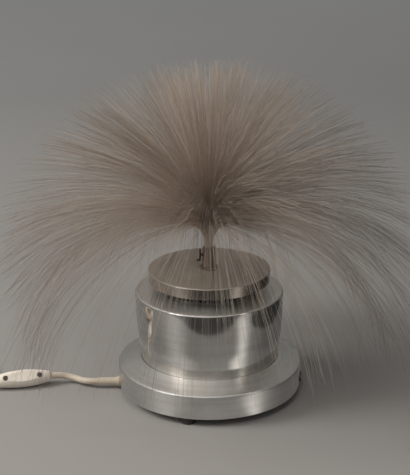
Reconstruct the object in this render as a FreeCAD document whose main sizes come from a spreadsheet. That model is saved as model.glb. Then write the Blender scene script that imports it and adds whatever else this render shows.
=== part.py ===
import FreeCAD, Part
import math
import os

import Sketcher
from FreeCAD import Placement, Rotation, Vector

# Fibre optic table lamp, in millimetres. The origin is the middle of the table face that the feet
# stand on, +Z is up, -Y is the front. A spun aluminium base holds a reflector bulb, a colour wheel
# and its motor; the fibre spray plugs into a socket in the lift-off lid.

os.makedirs("parts", exist_ok=True)
doc = FreeCAD.newDocument("fibre_optic_lamp")
sheet = doc.addObject("Spreadsheet::Sheet", "Sizes")

# Spun aluminium base.
sheet_wall = 1.2
rim_bottom_radius = 88.6
flange_radius = 90.0
rim_height = 24.4
flange_rise = 7.2
lip_inner_radius = 70.0
seat_depth = 2.1
seat_clearance = 0.3
shelf_inner_radius = 58.0
rim_bend = 1.4

# Drum.
drum_bottom_radius = 66.9
shoulder_radius = 71.9
drum_height = 68.5
drum_bulge = 1.2
drum_opening_radius = 45.4
shoulder_bend = 1.5

# Lid and vent collar.
vent_gap = 10.6
lid_rim_height = 10.9
lid_radius = 59.2
lid_rim_radius = 58.8
collar_radius = 47.0
collar_wall = 1.2
spigot_length = 4.0
spigot_clearance = 0.3
slot_count = 72
slot_width = 2.2
slot_height = 12.0
slot_foot = 2.2

# Feet and base plate.
foot_height = 6.3
foot_radius = 7.0
foot_circle = 79.0
foot_angle = 255.0
plate_thickness = 1.2
plate_radius = 85.0
vent_hole_radius = 4.0
vent_hole_circle = 66.0

# Screws.
big_screw_radius = 2.0
small_screw_radius = 1.5
hole_clearance = 0.2
thread_clearance = 0.05
drum_screw_circle = 62.0
drum_screw_angle = 75.0

# Terminal block and cord clamp on the base plate.
block_height = 9.5
block_at = 40.0
clamp_at = 62.0
clamp_screw_side = 7.0

# Cord.
cord_radius = 3.1
cord_angle = 179.5
exit_level = 7.0
cord_level = 11.5
sheath_end = 56.0
relief_length = 22.0
grommet_radius = 4.4
grommet_flange = 5.4
relief_radius = 4.2
grommet_lip = 5.2
blank_angle = 357.0
blank_level = 14.0
blank_radius = 5.8
cord_clearance = 0.05

# Lamp holder and bulb.
holder_radius = 13.5
holder_height = 32.0
bridge_rise = 7.5
bracket_steel = 1.5
nipple_radius = 4.9
cap_radius = 6.9
cap_length = 24.0
bulb_radius = 19.5
bulb_length = 66.0
glass_wall = 0.8

# Motor and gears.
can_centre = 36.5
can_radius = 15.0
can_height = 15.0
can_wall = 0.8
can_level = 70.0
gear_module = 0.4
gear_teeth = 27
pinion_teeth = 9
gear_thick = 1.6
pin_radius = 0.5
shaft_radius = 1.0
running_clearance = 0.05

# Colour wheel.
wheel_radius = 37.0
wheel_thick = 1.2
wheel_gap = 4.0
film_thick = 0.3
hub_radius = 5.0
spoke_width = 3.0

# Socket and bundle.
socket_radius = 6.2
socket_height = 20.0
socket_flange = 9.6
socket_flange_thick = 1.2
socket_tail_radius = 6.6
socket_tail = 21.0
socket_nut_radius = 10.4
ferrule_radius = 5.2
ferrule_flange = 6.2
bundle_radius = 4.5
ferrule_stand = 2.0
bundle_gap = 3.8
clamp_screw_level = 14.0
screw_tongue = 11.6
screw_foot = 3.2
screw_strip = 1.2

# Fibres.
fibre_count = 200
fibre_side = 0.36
column_height = 10.0
fan_length = 34.0

# In-line switch.
switch_length = 54.0
switch_width = 17.5
switch_depth = 14.5
switch_end_radius = 5.2
switch_wall = 1.6
rocker_length = 13.6
rocker_width = 7.0
rocker_swing = 8.0

# Plug.
plug_length = 35.0
plug_width = 26.0
plug_depth = 13.7
pin_pitch = 18.6
plug_pin_radius = 2.0
plug_pin_length = 19.0
plug_relief = 20.0


class Size:
    """A number together with the spreadsheet expression that it comes from."""

    def __init__(self, value, text):
        self.value = float(value)
        self.text = text

    @staticmethod
    def of(other):
        return other if isinstance(other, Size) else Size(other, repr(other))

    def __add__(self, other):
        other = Size.of(other)
        return Size(self.value + other.value, f"({self.text} + {other.text})")

    def __sub__(self, other):
        other = Size.of(other)
        return Size(self.value - other.value, f"({self.text} - {other.text})")

    def __mul__(self, other):
        other = Size.of(other)
        return Size(self.value * other.value, f"({self.text} * {other.text})")

    def __truediv__(self, other):
        other = Size.of(other)
        return Size(self.value / other.value, f"({self.text} / {other.text})")

    def __radd__(self, other):
        return Size.of(other) + self

    def __rsub__(self, other):
        return Size.of(other) - self

    def __rmul__(self, other):
        return Size.of(other) * self

    def __neg__(self):
        return Size(-self.value, f"(-1 * {self.text})")


class Sizes:
    """The driving dimensions, each one a named cell of the sheet and an attribute here."""

    def __init__(self, values):
        for row, (alias, value) in enumerate(values.items(), 1):
            sheet.set(f"A{row}", alias.replace("_", " "))
            sheet.set(f"B{row}", str(value))
            sheet.setAlias(f"B{row}", alias)
            setattr(self, alias, Size(value, f"Sizes.{alias}"))


S = Sizes({name: value for name, value in globals().items() if type(value) in (int, float)})
doc.recompute()

# Levels above the table, from the feet up.
plate_bottom = S.foot_height
rim_bottom = plate_bottom + S.plate_thickness
chassis = rim_bottom
flange_edge = rim_bottom + S.rim_height
bead = flange_edge + S.flange_rise
shelf_top = bead - S.seat_depth
shelf_bottom = shelf_top - S.sheet_wall
shoulder = shelf_top + S.drum_height
lid_rim_bottom = shoulder + S.vent_gap
lid_top = lid_rim_bottom + S.lid_rim_height
lid_under = lid_top - S.sheet_wall
bridge_top = chassis + S.bridge_rise
holder_top = bridge_top + S.holder_height
cap_bottom = holder_top - S.cap_length
bulb_top = cap_bottom + S.bulb_length
wheel_bottom = bulb_top + S.wheel_gap
wheel_top = wheel_bottom + S.wheel_thick
bundle_bottom = wheel_top + S.bundle_gap
socket_top = lid_top + S.socket_height
can_top = S.can_level + S.can_height
cover_top = can_top + 1.0
gear_pitch = S.gear_module * (S.gear_teeth + S.pinion_teeth) / 2
shaft_at = S.can_centre - gear_pitch
seat_radius = S.drum_bottom_radius + S.seat_clearance

pieces = {}


def piece(node, thing):
    """Gives a finished sub-part its node name and puts it on the list of pieces to write."""
    thing.Label = node
    pieces[node] = thing
    return thing


def bind(thing, name, size):
    """Sets one property of an object, bound to the sheet where the size comes from it."""
    if isinstance(size, Size):
        thing.setExpression(name, size.text)
    else:
        setattr(thing, name, size)


def place(thing, across=0, back=0, up=0, axis=(0, 0, 1), angle=0):
    """Puts an object in its place: turned about an axis, then moved; sizes may be bound."""
    numbers = [Size.of(value) for value in (across, back, up, angle)]
    turn = Rotation(Vector(*axis), numbers[3].value)
    thing.Placement = Placement(Vector(*(value.value for value in numbers[:3])), turn)
    for name, given, number in zip("xyz", (across, back, up), numbers):
        if isinstance(given, Size):
            thing.setExpression(f"Placement.Base.{name}", number.text)
    if isinstance(angle, Size):
        thing.setExpression("Placement.Rotation.Angle", numbers[3].text)
    return thing


def cylinder(radius, height, across=0, back=0, up=0, axis=(0, 0, 1), angle=0):
    thing = doc.addObject("Part::Cylinder", "round")
    bind(thing, "Radius", radius)
    bind(thing, "Height", height)
    return place(thing, across, back, up, axis, angle)


def cone(bottom, top, height, across=0, back=0, up=0, axis=(0, 0, 1), angle=0):
    thing = doc.addObject("Part::Cone", "taper")
    bind(thing, "Radius1", bottom)
    bind(thing, "Radius2", top)
    bind(thing, "Height", height)
    return place(thing, across, back, up, axis, angle)


def box(length, width, height, across=0, back=0, up=0):
    """A block whose across and back are its middle, and whose up is its underside."""
    thing = doc.addObject("Part::Box", "block")
    bind(thing, "Length", length)
    bind(thing, "Width", width)
    bind(thing, "Height", height)
    middle = Size.of(across) - Size.of(length) / 2
    side = Size.of(back) - Size.of(width) / 2
    return place(thing, middle, side, up)


def hexagon(across_corners, height, across=0, back=0, up=0):
    thing = doc.addObject("Part::Prism", "hexagon")
    thing.Polygon = 6
    bind(thing, "Circumradius", across_corners)
    bind(thing, "Height", height)
    return place(thing, across, back, up)


def cut(base, *tools):
    for tool in tools:
        result = doc.addObject("Part::Cut", "cut")
        result.Base = base
        result.Tool = tool
        base = result
    return base


def fuse(*things):
    result = doc.addObject("Part::MultiFuse", "joined")
    result.Shapes = list(things)
    return result


def common(*things):
    result = doc.addObject("Part::MultiCommon", "shared")
    result.Shapes = list(things)
    return result


def swing(angle, *things):
    """The given objects turned about the vertical axis of the lamp."""
    group = doc.addObject("Part::Compound", "swung")
    group.Links = list(things)
    return place(group, angle=angle)


def together(*things):
    group = doc.addObject("Part::Compound", "set")
    group.Links = list(things)
    return group


def closed_sketch(body, points, plane="XZ_Plane"):
    """A closed outline through points (across, up[, bulge]), every corner bound to the sheet.
    A bulge is how far the stretch that ends there bows out to the left of its direction."""
    sketch = body.newObject("Sketcher::SketchObject", "outline")
    sketch.AttachmentSupport = [(next(o for o in body.Origin.OriginFeatures if o.Role == plane), "")]
    sketch.MapMode = "FlatFace"
    corners = [(Size.of(p[0]), Size.of(p[1])) for p in points]
    starts = []
    ends = []
    for number, point in enumerate(points):
        before = corners[number - 1]
        here = corners[number]
        first = Vector(before[0].value, before[1].value, 0)
        last = Vector(here[0].value, here[1].value, 0)
        if len(point) == 2:
            edge = sketch.addGeometry(Part.LineSegment(first, last), False)
            starts.append((edge, 1))
            ends.append((edge, 2))
            continue
        bulge = Size.of(point[2])
        span = (here[0] - before[0]) * (here[0] - before[0]) + (here[1] - before[1]) * (here[1] - before[1])
        rise = bulge if bulge.value > 0 else -bulge
        radius = (span / 4 + rise * rise) / (2 * rise)
        run = last - first
        left = Vector(-run.y, run.x, 0).normalize() * (bulge.value / rise.value)
        centre = (first + last) * 0.5 + left * (rise.value - radius.value)
        circle = Part.Circle(centre, Vector(0, 0, 1), radius.value)
        leftward = bulge.value > 0
        low, high = (circle.parameter(last), circle.parameter(first)) if leftward else (
            circle.parameter(first), circle.parameter(last))
        high += 2 * math.pi if high < low else 0
        edge = sketch.addGeometry(Part.ArcOfCircle(circle, low, high), False)
        starts.append((edge, 2 if leftward else 1))
        ends.append((edge, 1 if leftward else 2))
        rule = sketch.addConstraint(Sketcher.Constraint("Radius", edge, radius.value))
        sketch.setExpression(f"Constraints[{rule}]", radius.text)
    for number in range(len(points)):
        following = starts[(number + 1) % len(points)]
        sketch.addConstraint(Sketcher.Constraint("Coincident", *ends[number], *following))
        for kind, size in zip(("DistanceX", "DistanceY"), corners[number]):
            if size.value == 0 and size.text in ("0", "0.0"):
                line = -2 if kind == "DistanceX" else -1
                sketch.addConstraint(Sketcher.Constraint("PointOnObject", *ends[number], line))
                continue
            rule = sketch.addConstraint(Sketcher.Constraint(kind, -1, 1, *ends[number], size.value))
            sketch.setExpression(f"Constraints[{rule}]", size.text)
    return sketch


def turned(points, axis_at=0):
    """A body spun from its outline of (radius, up[, bulge]) points about a vertical line."""
    body = doc.addObject("PartDesign::Body", "turned")
    shifted = [(Size.of(axis_at) + p[0], *p[1:]) if isinstance(axis_at, Size) else p for p in points]
    sketch = closed_sketch(body, shifted)
    spin = body.newObject("PartDesign::Revolution", "spin")
    spin.Profile = sketch
    if isinstance(axis_at, Size):
        line = Part.LineSegment(Vector(axis_at.value, 0, 0), Vector(axis_at.value, 10, 0))
        axis = sketch.addGeometry(line, True)
        sketch.addConstraint(Sketcher.Constraint("Vertical", axis))
        rule = sketch.addConstraint(Sketcher.Constraint("DistanceX", -1, 1, axis, 1, axis_at.value))
        sketch.setExpression(f"Constraints[{rule}]", axis_at.text)
        spin.ReferenceAxis = (sketch, ["Axis0"])
    else:
        spin.ReferenceAxis = (sketch, ["V_Axis"])
    spin.Angle = 360
    return body


def pad(points, height, low=0):
    """A body pulled straight up from an outline of (across, back[, bulge]) points."""
    body = doc.addObject("PartDesign::Body", "plate")
    sketch = closed_sketch(body, points, "XY_Plane")
    pull = body.newObject("PartDesign::Pad", "pull")
    pull.Profile = sketch
    bind(pull, "Length", height)
    return place(body, up=low)


def rounded(body, radius, *rings):
    """Rounds the circular edges of a body that lie on the given (radius, level) rings."""
    doc.recompute()
    base = body.Tip
    names = []
    for number, edge in enumerate(base.Shape.Edges, 1):
        if not isinstance(edge.Curve, Part.Circle):
            continue
        for ring, level in rings:
            near = abs(edge.Curve.Radius - Size.of(ring).value) < 0.01
            if near and abs(edge.Curve.Center.z - Size.of(level).value) < 0.01:
                names.append(f"Edge{number}")
    soft = body.newObject("PartDesign::Fillet", "bend")
    soft.Base = (base, names)
    bind(soft, "Radius", radius)
    body.Tip = soft
    return body


def ring_of(count, first_angle, make):
    """Copies of a made object at equal angles about the lamp's vertical axis."""
    return [swing(first_angle + 360 / count * number, make()) for number in range(count)]


def bored(radius, length, up, *where):
    return cylinder(radius, length, *where, up=up)


def washer_head_screw(radius, head_radius, head, shank, across=0, back=0, up=0, upside_down=False):
    """A pan-head machine screw with a driver slot; up is the level of the seat under its head."""
    up = Size.of(up)
    if upside_down:
        top = up - head
        body = fuse(cylinder(head_radius, head, across, back, top), cylinder(radius, shank, across, back, up))
        slot = box(Size.of(head_radius) * 2.2, 0.6, 0.6, across, back, top)
    else:
        body = fuse(cylinder(head_radius, head, across, back, up),
                    cylinder(radius, shank, across, back, up - shank))
        slot = box(Size.of(head_radius) * 2.2, 0.6, 0.6, across, back, up + head - 0.6)
    return cut(body, slot)


def nut(radius, corner_radius, height, across=0, back=0, up=0):
    hole = cylinder(radius + S.thread_clearance, Size.of(height) + 2, across, back, Size.of(up) - 1)
    return cut(hexagon(corner_radius, height, across, back, up), hole)


def set_shape(*shapes):
    """A sub-part whose shapes come, already in their place, from Part's own functions."""
    thing = doc.addObject("Part::Feature", "shape")
    thing.Shape = Part.makeCompound(list(shapes))
    thing.Placement = Placement()
    return thing


def rounded_wire(points, say=None):
    """Straight runs joined by tangent arcs; each arc is as large as its two runs allow."""
    points = [Vector(*p) for p in points]
    edges = []
    radii = []
    at = points[0]
    for before, here, after in zip(points, points[1:], points[2:]):
        back_way = (before - here).normalize()
        on_way = (after - here).normalize()
        half_turn = (math.pi - back_way.getAngle(on_way)) / 2
        reach = 0.45 * min((before - here).Length, (after - here).Length)
        radius = reach / math.tan(half_turn)
        radii.append(radius)
        first = here + back_way * reach
        last = here + on_way * reach
        bisector = (back_way + on_way).normalize()
        centre = here + bisector * (radius / math.cos(half_turn))
        middle = centre - bisector * radius
        edges.append(Part.LineSegment(at, first).toShape())
        edges.append(Part.Arc(first, middle, last).toShape())
        at = last
    edges.append(Part.LineSegment(at, points[-1]).toShape())
    if say:
        print(say, "arc radii", [round(radius, 1) for radius in radii])
    return Part.Wire(edges)


def tube(points, radius, say=None):
    """A round cord or wire along rounded runs, checked against its section times its length."""
    path = rounded_wire(points, say)
    start = path.Edges[0].tangentAt(path.Edges[0].FirstParameter)
    foot = path.Edges[0].valueAt(path.Edges[0].FirstParameter)
    ring = Part.Wire(Part.Circle(foot, start, radius).toShape())
    solid = path.makePipeShell([ring], True, False)
    expected = math.pi * radius ** 2 * path.Length
    if abs(solid.Volume - expected) > 0.01 * expected:
        raise ValueError(f"{say}: tube volume {solid.Volume:.1f} is not {expected:.1f}")
    if say:
        print(say, "length", round(path.Length, 1))
    return solid


def at_cord(distance, aside=0.0, level=None):
    """A point on the cord's radial line: distance from the axis, offset to its left, level."""
    angle = math.radians(S.cord_angle.value)
    out = Vector(math.cos(angle), math.sin(angle), 0)
    left = Vector(-math.sin(angle), math.cos(angle), 0)
    point = out * distance + left * aside
    return (point.x, point.y, S.cord_level.value if level is None else level)


# Base ring: one spinning with a rolled-in lip at the bottom, a rim, a sloping flange and a shelf
# that the drum stands on.
slope = S.flange_rise / (S.flange_radius - seat_radius)
seat_outside = seat_radius + S.sheet_wall
ring_shell = turned([
    (S.lip_inner_radius, rim_bottom),
    (S.rim_bottom_radius, rim_bottom),
    (S.flange_radius, flange_edge),
    (seat_radius, bead),
    (seat_radius, shelf_top),
    (S.shelf_inner_radius, shelf_top),
    (S.shelf_inner_radius, shelf_bottom),
    (seat_outside, shelf_bottom),
    (seat_outside, bead - S.sheet_wall - slope * S.sheet_wall),
    (S.flange_radius - S.sheet_wall, flange_edge - S.sheet_wall + slope * S.sheet_wall),
    (S.rim_bottom_radius - S.sheet_wall, rim_bottom + S.sheet_wall),
    (S.lip_inner_radius, rim_bottom + S.sheet_wall),
])
rounded(ring_shell, S.rim_bend, (S.flange_radius, flange_edge))
rounded(ring_shell, S.sheet_wall * 0.8, (seat_radius, bead), (S.rim_bottom_radius, rim_bottom))


def foot_hole():
    return bored(S.big_screw_radius + S.hole_clearance, 12, plate_bottom - 3, S.foot_circle)


def drum_hole():
    return bored(S.small_screw_radius + S.hole_clearance, 8, shelf_bottom - 3, S.drum_screw_circle)


def rim_hole(angle, level, start):
    drill = cylinder(S.grommet_radius + S.hole_clearance, S.flange_radius + 5 - start, start, 0, level,
                     axis=(0, 1, 0), angle=90)
    return swing(angle, drill)


foot_holes = together(*ring_of(3, S.foot_angle, foot_hole))
drum_holes = together(*ring_of(3, S.drum_screw_angle, drum_hole))
cord_notch = rim_hole(S.cord_angle, S.exit_level, Size.of(S.clamp_at + 4.5))
piece("base_ring", cut(ring_shell, foot_holes, drum_holes, cord_notch,
                       rim_hole(S.blank_angle, S.blank_level, S.flange_radius - 15)))

# Drum: a spun pot, closed at the top by its shoulder and open in the middle for the vent collar.
drum_shell = turned([
    (S.shelf_inner_radius, shelf_top),
    (S.drum_bottom_radius, shelf_top),
    (S.shoulder_radius, shoulder, -S.drum_bulge),
    (S.drum_opening_radius, shoulder),
    (S.drum_opening_radius, shoulder - S.sheet_wall),
    (S.shoulder_radius - S.sheet_wall, shoulder - S.sheet_wall),
    (S.drum_bottom_radius - S.sheet_wall, shelf_top + S.sheet_wall, S.drum_bulge),
    (S.shelf_inner_radius, shelf_top + S.sheet_wall),
])
rounded(drum_shell, S.shoulder_bend, (S.shoulder_radius, shoulder))
piece("drum", cut(drum_shell, drum_holes))

# Base plate, three rubber feet under it, and the screws that hold both to the ring's lip.
vent_holes = [swing(S.cord_angle + 15 + 30 * number,
                    bored(S.vent_hole_radius, 4, plate_bottom - 1, S.vent_hole_circle)) for number in range(12)]
chassis_screw_places = {
    "holder bracket": [(0, 20), (0, -20)],
    "motor bracket": [(47, 4.5), (47, -4.5)],
}


def chassis_holes():
    holes = [bored(S.small_screw_radius + S.hole_clearance, 4, plate_bottom - 1, x, y)
             for spots in chassis_screw_places.values() for x, y in spots]
    local = [bored(S.small_screw_radius + S.hole_clearance, 4, plate_bottom - 1, x, y)
             for x, y in ((S.block_at, 0), (S.clamp_at, S.clamp_screw_side),
                          (S.clamp_at, -S.clamp_screw_side))]
    return holes + [swing(S.cord_angle, *local)]


plate_disc = cylinder(S.plate_radius, S.plate_thickness, up=plate_bottom)
piece("base_plate", cut(plate_disc, foot_holes, cord_notch, *vent_holes, *chassis_holes()))


def foot():
    body = turned([(S.big_screw_radius + S.hole_clearance, 3.4), (5.0, 3.4), (5.0, 0), (S.foot_radius - 0.6, 0),
                   (S.foot_radius, 0.8), (S.foot_radius, S.foot_height),
                   (S.big_screw_radius + S.hole_clearance, S.foot_height)], S.foot_circle)
    return body


def foot_screw():
    return washer_head_screw(S.big_screw_radius, 3.8, 2.2, S.foot_height + 4, S.foot_circle, 0, 3.4,
                             upside_down=True)


def foot_nut():
    return nut(S.big_screw_radius, 4.0, 3.2, S.foot_circle, 0, rim_bottom + S.sheet_wall)


piece("feet", together(*ring_of(3, S.foot_angle, foot)))
piece("foot_screws", together(*ring_of(3, S.foot_angle, foot_screw)))
piece("foot_nuts", together(*ring_of(3, S.foot_angle, foot_nut)))


# Screws that clamp the drum's inward flange to the ring's shelf.
def drum_screw():
    return washer_head_screw(S.small_screw_radius, 2.75, 1.8, 7, S.drum_screw_circle, 0,
                             shelf_top + S.sheet_wall)


def drum_nut():
    return nut(S.small_screw_radius, 3.1, 2.4, S.drum_screw_circle, 0, shelf_bottom - 2.4)


piece("drum_screws", together(*ring_of(3, S.drum_screw_angle, drum_screw)))
piece("drum_nuts", together(*ring_of(3, S.drum_screw_angle, drum_nut)))

# Rubber grommets in the rim: a blank one, and the cord's own with its tapered tail.
rim_lean = (S.flange_radius - S.rim_bottom_radius) / S.rim_height


def rim_face(level):
    """Just clear of the rim's outside at a level; the wall lies within a millimetre and its thickness."""
    return S.rim_bottom_radius + (level - rim_bottom) * rim_lean + 0.9


def along_rim(radius, start, length, level):
    return cylinder(radius, length, start, 0, level, axis=(0, 1, 0), angle=90)


wall_depth = S.sheet_wall + 1.8
blank_out = rim_face(S.blank_level)
blank_in = blank_out - wall_depth
blank = fuse(along_rim(S.grommet_radius, blank_in - 0.5, wall_depth + 1.0, S.blank_level),
             along_rim(S.blank_radius, blank_out, 0.9, S.blank_level),
             along_rim(S.grommet_lip, blank_in - 1.4, 1.0, S.blank_level))
piece("blanking_grommet", swing(S.blank_angle, blank))
wall_out = rim_face(S.exit_level)
wall_in = wall_out - wall_depth
relief = fuse(along_rim(S.grommet_radius, wall_in - 2.0, wall_depth + 2.5, S.exit_level),
              along_rim(S.grommet_flange, wall_out, 1.6, S.exit_level),
              cone(S.relief_radius, S.cord_radius + 0.5, S.relief_length - 1.6, wall_out + 1.6, 0, S.exit_level,
                   axis=(0, 1, 0), angle=90))
relief_bore = along_rim(S.cord_radius + S.cord_clearance, wall_in - 10, 60, S.exit_level)
piece("strain_relief", swing(S.cord_angle, cut(relief, relief_bore)))
relief_end = wall_out + S.relief_length

# Cord clamp: a saddle block screwed to the base plate, just inside the strain relief.
clamp_height = S.cord_level + S.cord_radius + 1.6 - chassis
clamp_block = box(8, 20, clamp_height, S.clamp_at, 0, chassis)
clamp_sides = (S.clamp_screw_side, -S.clamp_screw_side)
clamp_bores = [bored(S.small_screw_radius + S.hole_clearance, 20, chassis - 1, S.clamp_at, side)
               for side in clamp_sides]
clamp_channel = along_rim(S.cord_radius + S.cord_clearance, S.clamp_at - 12, 24, S.cord_level)
piece("cord_clamp", swing(S.cord_angle, cut(clamp_block, clamp_channel, *clamp_bores)))

# Two-pole terminal block with its four clamping screws.
block_level = S.cord_level
block = box(16, 24, S.block_height, S.block_at, 0, chassis)
pole_bores = [cylinder(1.9, 20, S.block_at - 10, side, block_level, axis=(0, 1, 0), angle=90)
              for side in (5, -5)]
pole_screws = [(S.block_at + along, side) for along in (-4, 4) for side in (5, -5)]
screw_bores = [bored(1.8, 6, chassis + S.block_height - 4.5, x, side) for x, side in pole_screws]
block_bore = bored(S.small_screw_radius + S.hole_clearance, 20, chassis - 1, S.block_at)
piece("terminal_block", swing(S.cord_angle, cut(block, block_bore, *pole_bores, *screw_bores)))
block_top = chassis + S.block_height
terminal_screws = [cut(cylinder(1.7, 3.2, x, side, block_top - 4.2), box(4, 0.5, 0.8, x, side, block_top - 1.8))
                   for x, side in pole_screws]
piece("terminal_screws", swing(S.cord_angle, *terminal_screws))

# Lamp holder on a raised bridge bracket, with its nipple, sleeve and centre contact.
bridge = fuse(box(12, 24, S.bracket_steel, 0, 0, bridge_top - S.bracket_steel),
              box(12, S.bracket_steel, S.bridge_rise, 0, 12.75, chassis),
              box(12, S.bracket_steel, S.bridge_rise, 0, -12.75, chassis),
              box(12, 12, S.bracket_steel, 0, 19, chassis), box(12, 12, S.bracket_steel, 0, -19, chassis))
bridge_bores = [bored(S.small_screw_radius + S.hole_clearance, 4, chassis - 1, 0, side)
                for side in (20, -20)]
nipple_bore = bored(S.nipple_radius + S.hole_clearance, 4, bridge_top - S.bracket_steel - 1)
piece("holder_bracket", cut(bridge, nipple_bore, *bridge_bores))
holder_floor = cap_bottom - 1.2
piece("lamp_holder", turned([
    (S.nipple_radius + S.thread_clearance, bridge_top), (S.holder_radius - 1, bridge_top),
    (S.holder_radius, bridge_top + 3), (S.holder_radius, holder_top - 3),
    (S.holder_radius + 0.8, holder_top - 2), (S.holder_radius + 0.8, holder_top),
    (S.cap_radius + 1.1, holder_top), (S.cap_radius + 1.1, holder_floor),
    (S.nipple_radius + S.thread_clearance, holder_floor)]))
piece("holder_nipple", turned([
    (3.9, bridge_top - 5.5), (S.nipple_radius, bridge_top - 5.5), (S.nipple_radius, holder_floor - 1.5),
    (3.9, holder_floor - 1.5)]))
piece("nipple_nut", nut(S.nipple_radius, 8.0, 3.0, 0, 0, bridge_top - S.bracket_steel - 3.0))
piece("threaded_sleeve", turned([
    (S.cap_radius + 0.2, cap_bottom + 3), (S.cap_radius + 1.05, cap_bottom + 3),
    (S.cap_radius + 1.05, holder_top - 2), (S.cap_radius + 0.2, holder_top - 2)]))
piece("centre_contact", fuse(cylinder(4.6, 0.6, up=holder_floor - 1.5),
                             cylinder(2.0, 2.1, up=holder_floor - 0.9)))

# Reflector bulb: a screw cap and a blown glass shell.
cap_height = S.cap_length - 1.5
piece("bulb_cap", turned([
    (0, cap_bottom), (3.0, cap_bottom), (S.cap_radius - 1, cap_bottom + 2), (S.cap_radius, cap_bottom + 3.2),
    (S.cap_radius, cap_bottom + cap_height), (S.cap_radius - 0.4, cap_bottom + cap_height),
    (S.cap_radius - 0.4, cap_bottom + 3.6), (0, cap_bottom + 3.6)]))
glass_foot = cap_bottom + cap_height
widest = bulb_top - 9
face_flat = 4.0
piece("bulb_glass", turned([
    (S.cap_radius - 0.4 - S.glass_wall, glass_foot), (S.cap_radius, glass_foot),
    (S.cap_radius + 2.0, glass_foot + 5), (S.bulb_radius, widest, -1.6), (face_flat, bulb_top, -1.9),
    (0, bulb_top), (0, bulb_top - S.glass_wall), (face_flat, bulb_top - S.glass_wall),
    (S.bulb_radius - S.glass_wall, widest, 1.9), (S.cap_radius + 2.0 - S.glass_wall, glass_foot + 5, 1.6)]))

# Motor bracket: a tall strip with a foot on the base plate and a cross arm over the motor.
leg_at = S.can_centre + S.can_radius + 2.25
arm_level = cover_top
ear_side = S.can_radius + 3.5
piece("motor_bracket", cut(
    fuse(box(S.bracket_steel, 16, arm_level + S.bracket_steel - chassis, leg_at, 0, chassis),
         box(14, 16, S.bracket_steel, leg_at - 7, 0, chassis),
         box(leg_at - S.can_centre + 4, 16, S.bracket_steel, (leg_at + S.can_centre - 4) / 2, 0, arm_level),
         box(8.4, ear_side * 2 + 7, S.bracket_steel, S.can_centre, 0, arm_level)),
    *[bored(S.small_screw_radius + S.hole_clearance, 4, chassis - 1, 47, side) for side in (4.5, -4.5)],
    *[bored(S.small_screw_radius + S.hole_clearance, 4, arm_level - 1, S.can_centre, side)
      for side in (ear_side, -ear_side)]))

# Synchronous motor: can, cover with ears and shaft boss, coil, gear plate and the gears' fixed pins.
inside = S.can_radius - S.can_wall
floor = S.can_level + S.can_wall
piece("motor_can", turned([
    (0, S.can_level), (S.can_radius, S.can_level), (S.can_radius, can_top), (inside, can_top),
    (inside, floor), (0, floor)], S.can_centre))
cover = fuse(cylinder(S.can_radius, 1, S.can_centre, 0, can_top),
             box(7, ear_side * 2, 1, S.can_centre, 0, can_top),
             *[cylinder(3.5, 1, S.can_centre, side, can_top) for side in (ear_side, -ear_side)],
             cylinder(2.2, 1.8, shaft_at, 0, cover_top))
cover_bores = [bored(S.small_screw_radius + S.hole_clearance, 3, can_top - 1, S.can_centre, side)
               for side in (ear_side, -ear_side)]
shaft_bore = bored(S.shaft_radius + S.running_clearance, 6, can_top - 1, shaft_at)
piece("motor_cover", cut(cover, shaft_bore, *cover_bores))
coil_low = floor
coil_high = S.can_level + 7.0
piece("motor_coil", turned([
    (8.8, coil_low), (inside - 0.2, coil_low), (inside - 0.2, coil_high), (8.8, coil_high)], S.can_centre))
plate_level = S.can_level + 8.0
cluster_x = S.can_centre - gear_pitch / 2
cluster_y = gear_pitch * (3 ** 0.5 / 2)
gear_plate = cut(cylinder(inside - 0.1, 0.6, S.can_centre, 0, plate_level),
                 bored(S.pin_radius + 1.4, 2, plate_level - 1, S.can_centre))
plate_post = cut(cylinder(inside - 0.1, 1.0, S.can_centre, 0, coil_high),
                 bored(inside - 1.4, 3, coil_high - 1, S.can_centre))
piece("gear_plate", fuse(gear_plate, plate_post))
piece("gear_pins", together(
    cylinder(S.pin_radius, can_top - floor, S.can_centre, 0, floor),
    cylinder(S.pin_radius, can_top - plate_level - 0.6, cluster_x, cluster_y, plate_level + 0.6)))
piece("motor_screws", together(*[washer_head_screw(S.small_screw_radius, 2.75, 1.8, 6, S.can_centre, side,
                                                   arm_level + S.bracket_steel)
                               for side in (ear_side, -ear_side)]))
motor_nuts = [nut(S.small_screw_radius, 3.1, 2.4, S.can_centre, side, can_top - 2.4)
              for side in (ear_side, -ear_side)]


def toothed(teeth, module, bore, height):
    """A spur gear: straight-flanked teeth, slim enough to run free; one tooth points along +X."""
    pitch_radius = module * teeth / 2
    tip = pitch_radius + 0.75 * module
    root = pitch_radius - 1.1 * module
    pitch_half = 0.21 * 2 * math.pi / teeth
    tip_half = 0.10 * 2 * math.pi / teeth * pitch_radius / tip
    root_half = 0.33 * 2 * math.pi / teeth
    corners = []
    for number in range(teeth):
        middle = 2 * math.pi * number / teeth
        for radius, half in ((root, -root_half), (pitch_radius, -pitch_half), (tip, -tip_half),
                             (tip, tip_half), (pitch_radius, pitch_half), (root, root_half)):
            corners.append(Vector(radius * math.cos(middle + half), radius * math.sin(middle + half), 0))
    outline = Part.Face(Part.makePolygon(corners + corners[:1]))
    hole = Part.Face(Part.Wire(Part.Circle(Vector(), Vector(0, 0, 1), bore).toShape()))
    return outline.cut(hole).extrude(Vector(0, 0, height))


def gear_at(shape, across, back, level, turn):
    copy = shape.copy()
    copy.rotate(Vector(), Vector(0, 0, 1), turn)
    copy.translate(Vector(across, back, level))
    return copy


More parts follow.
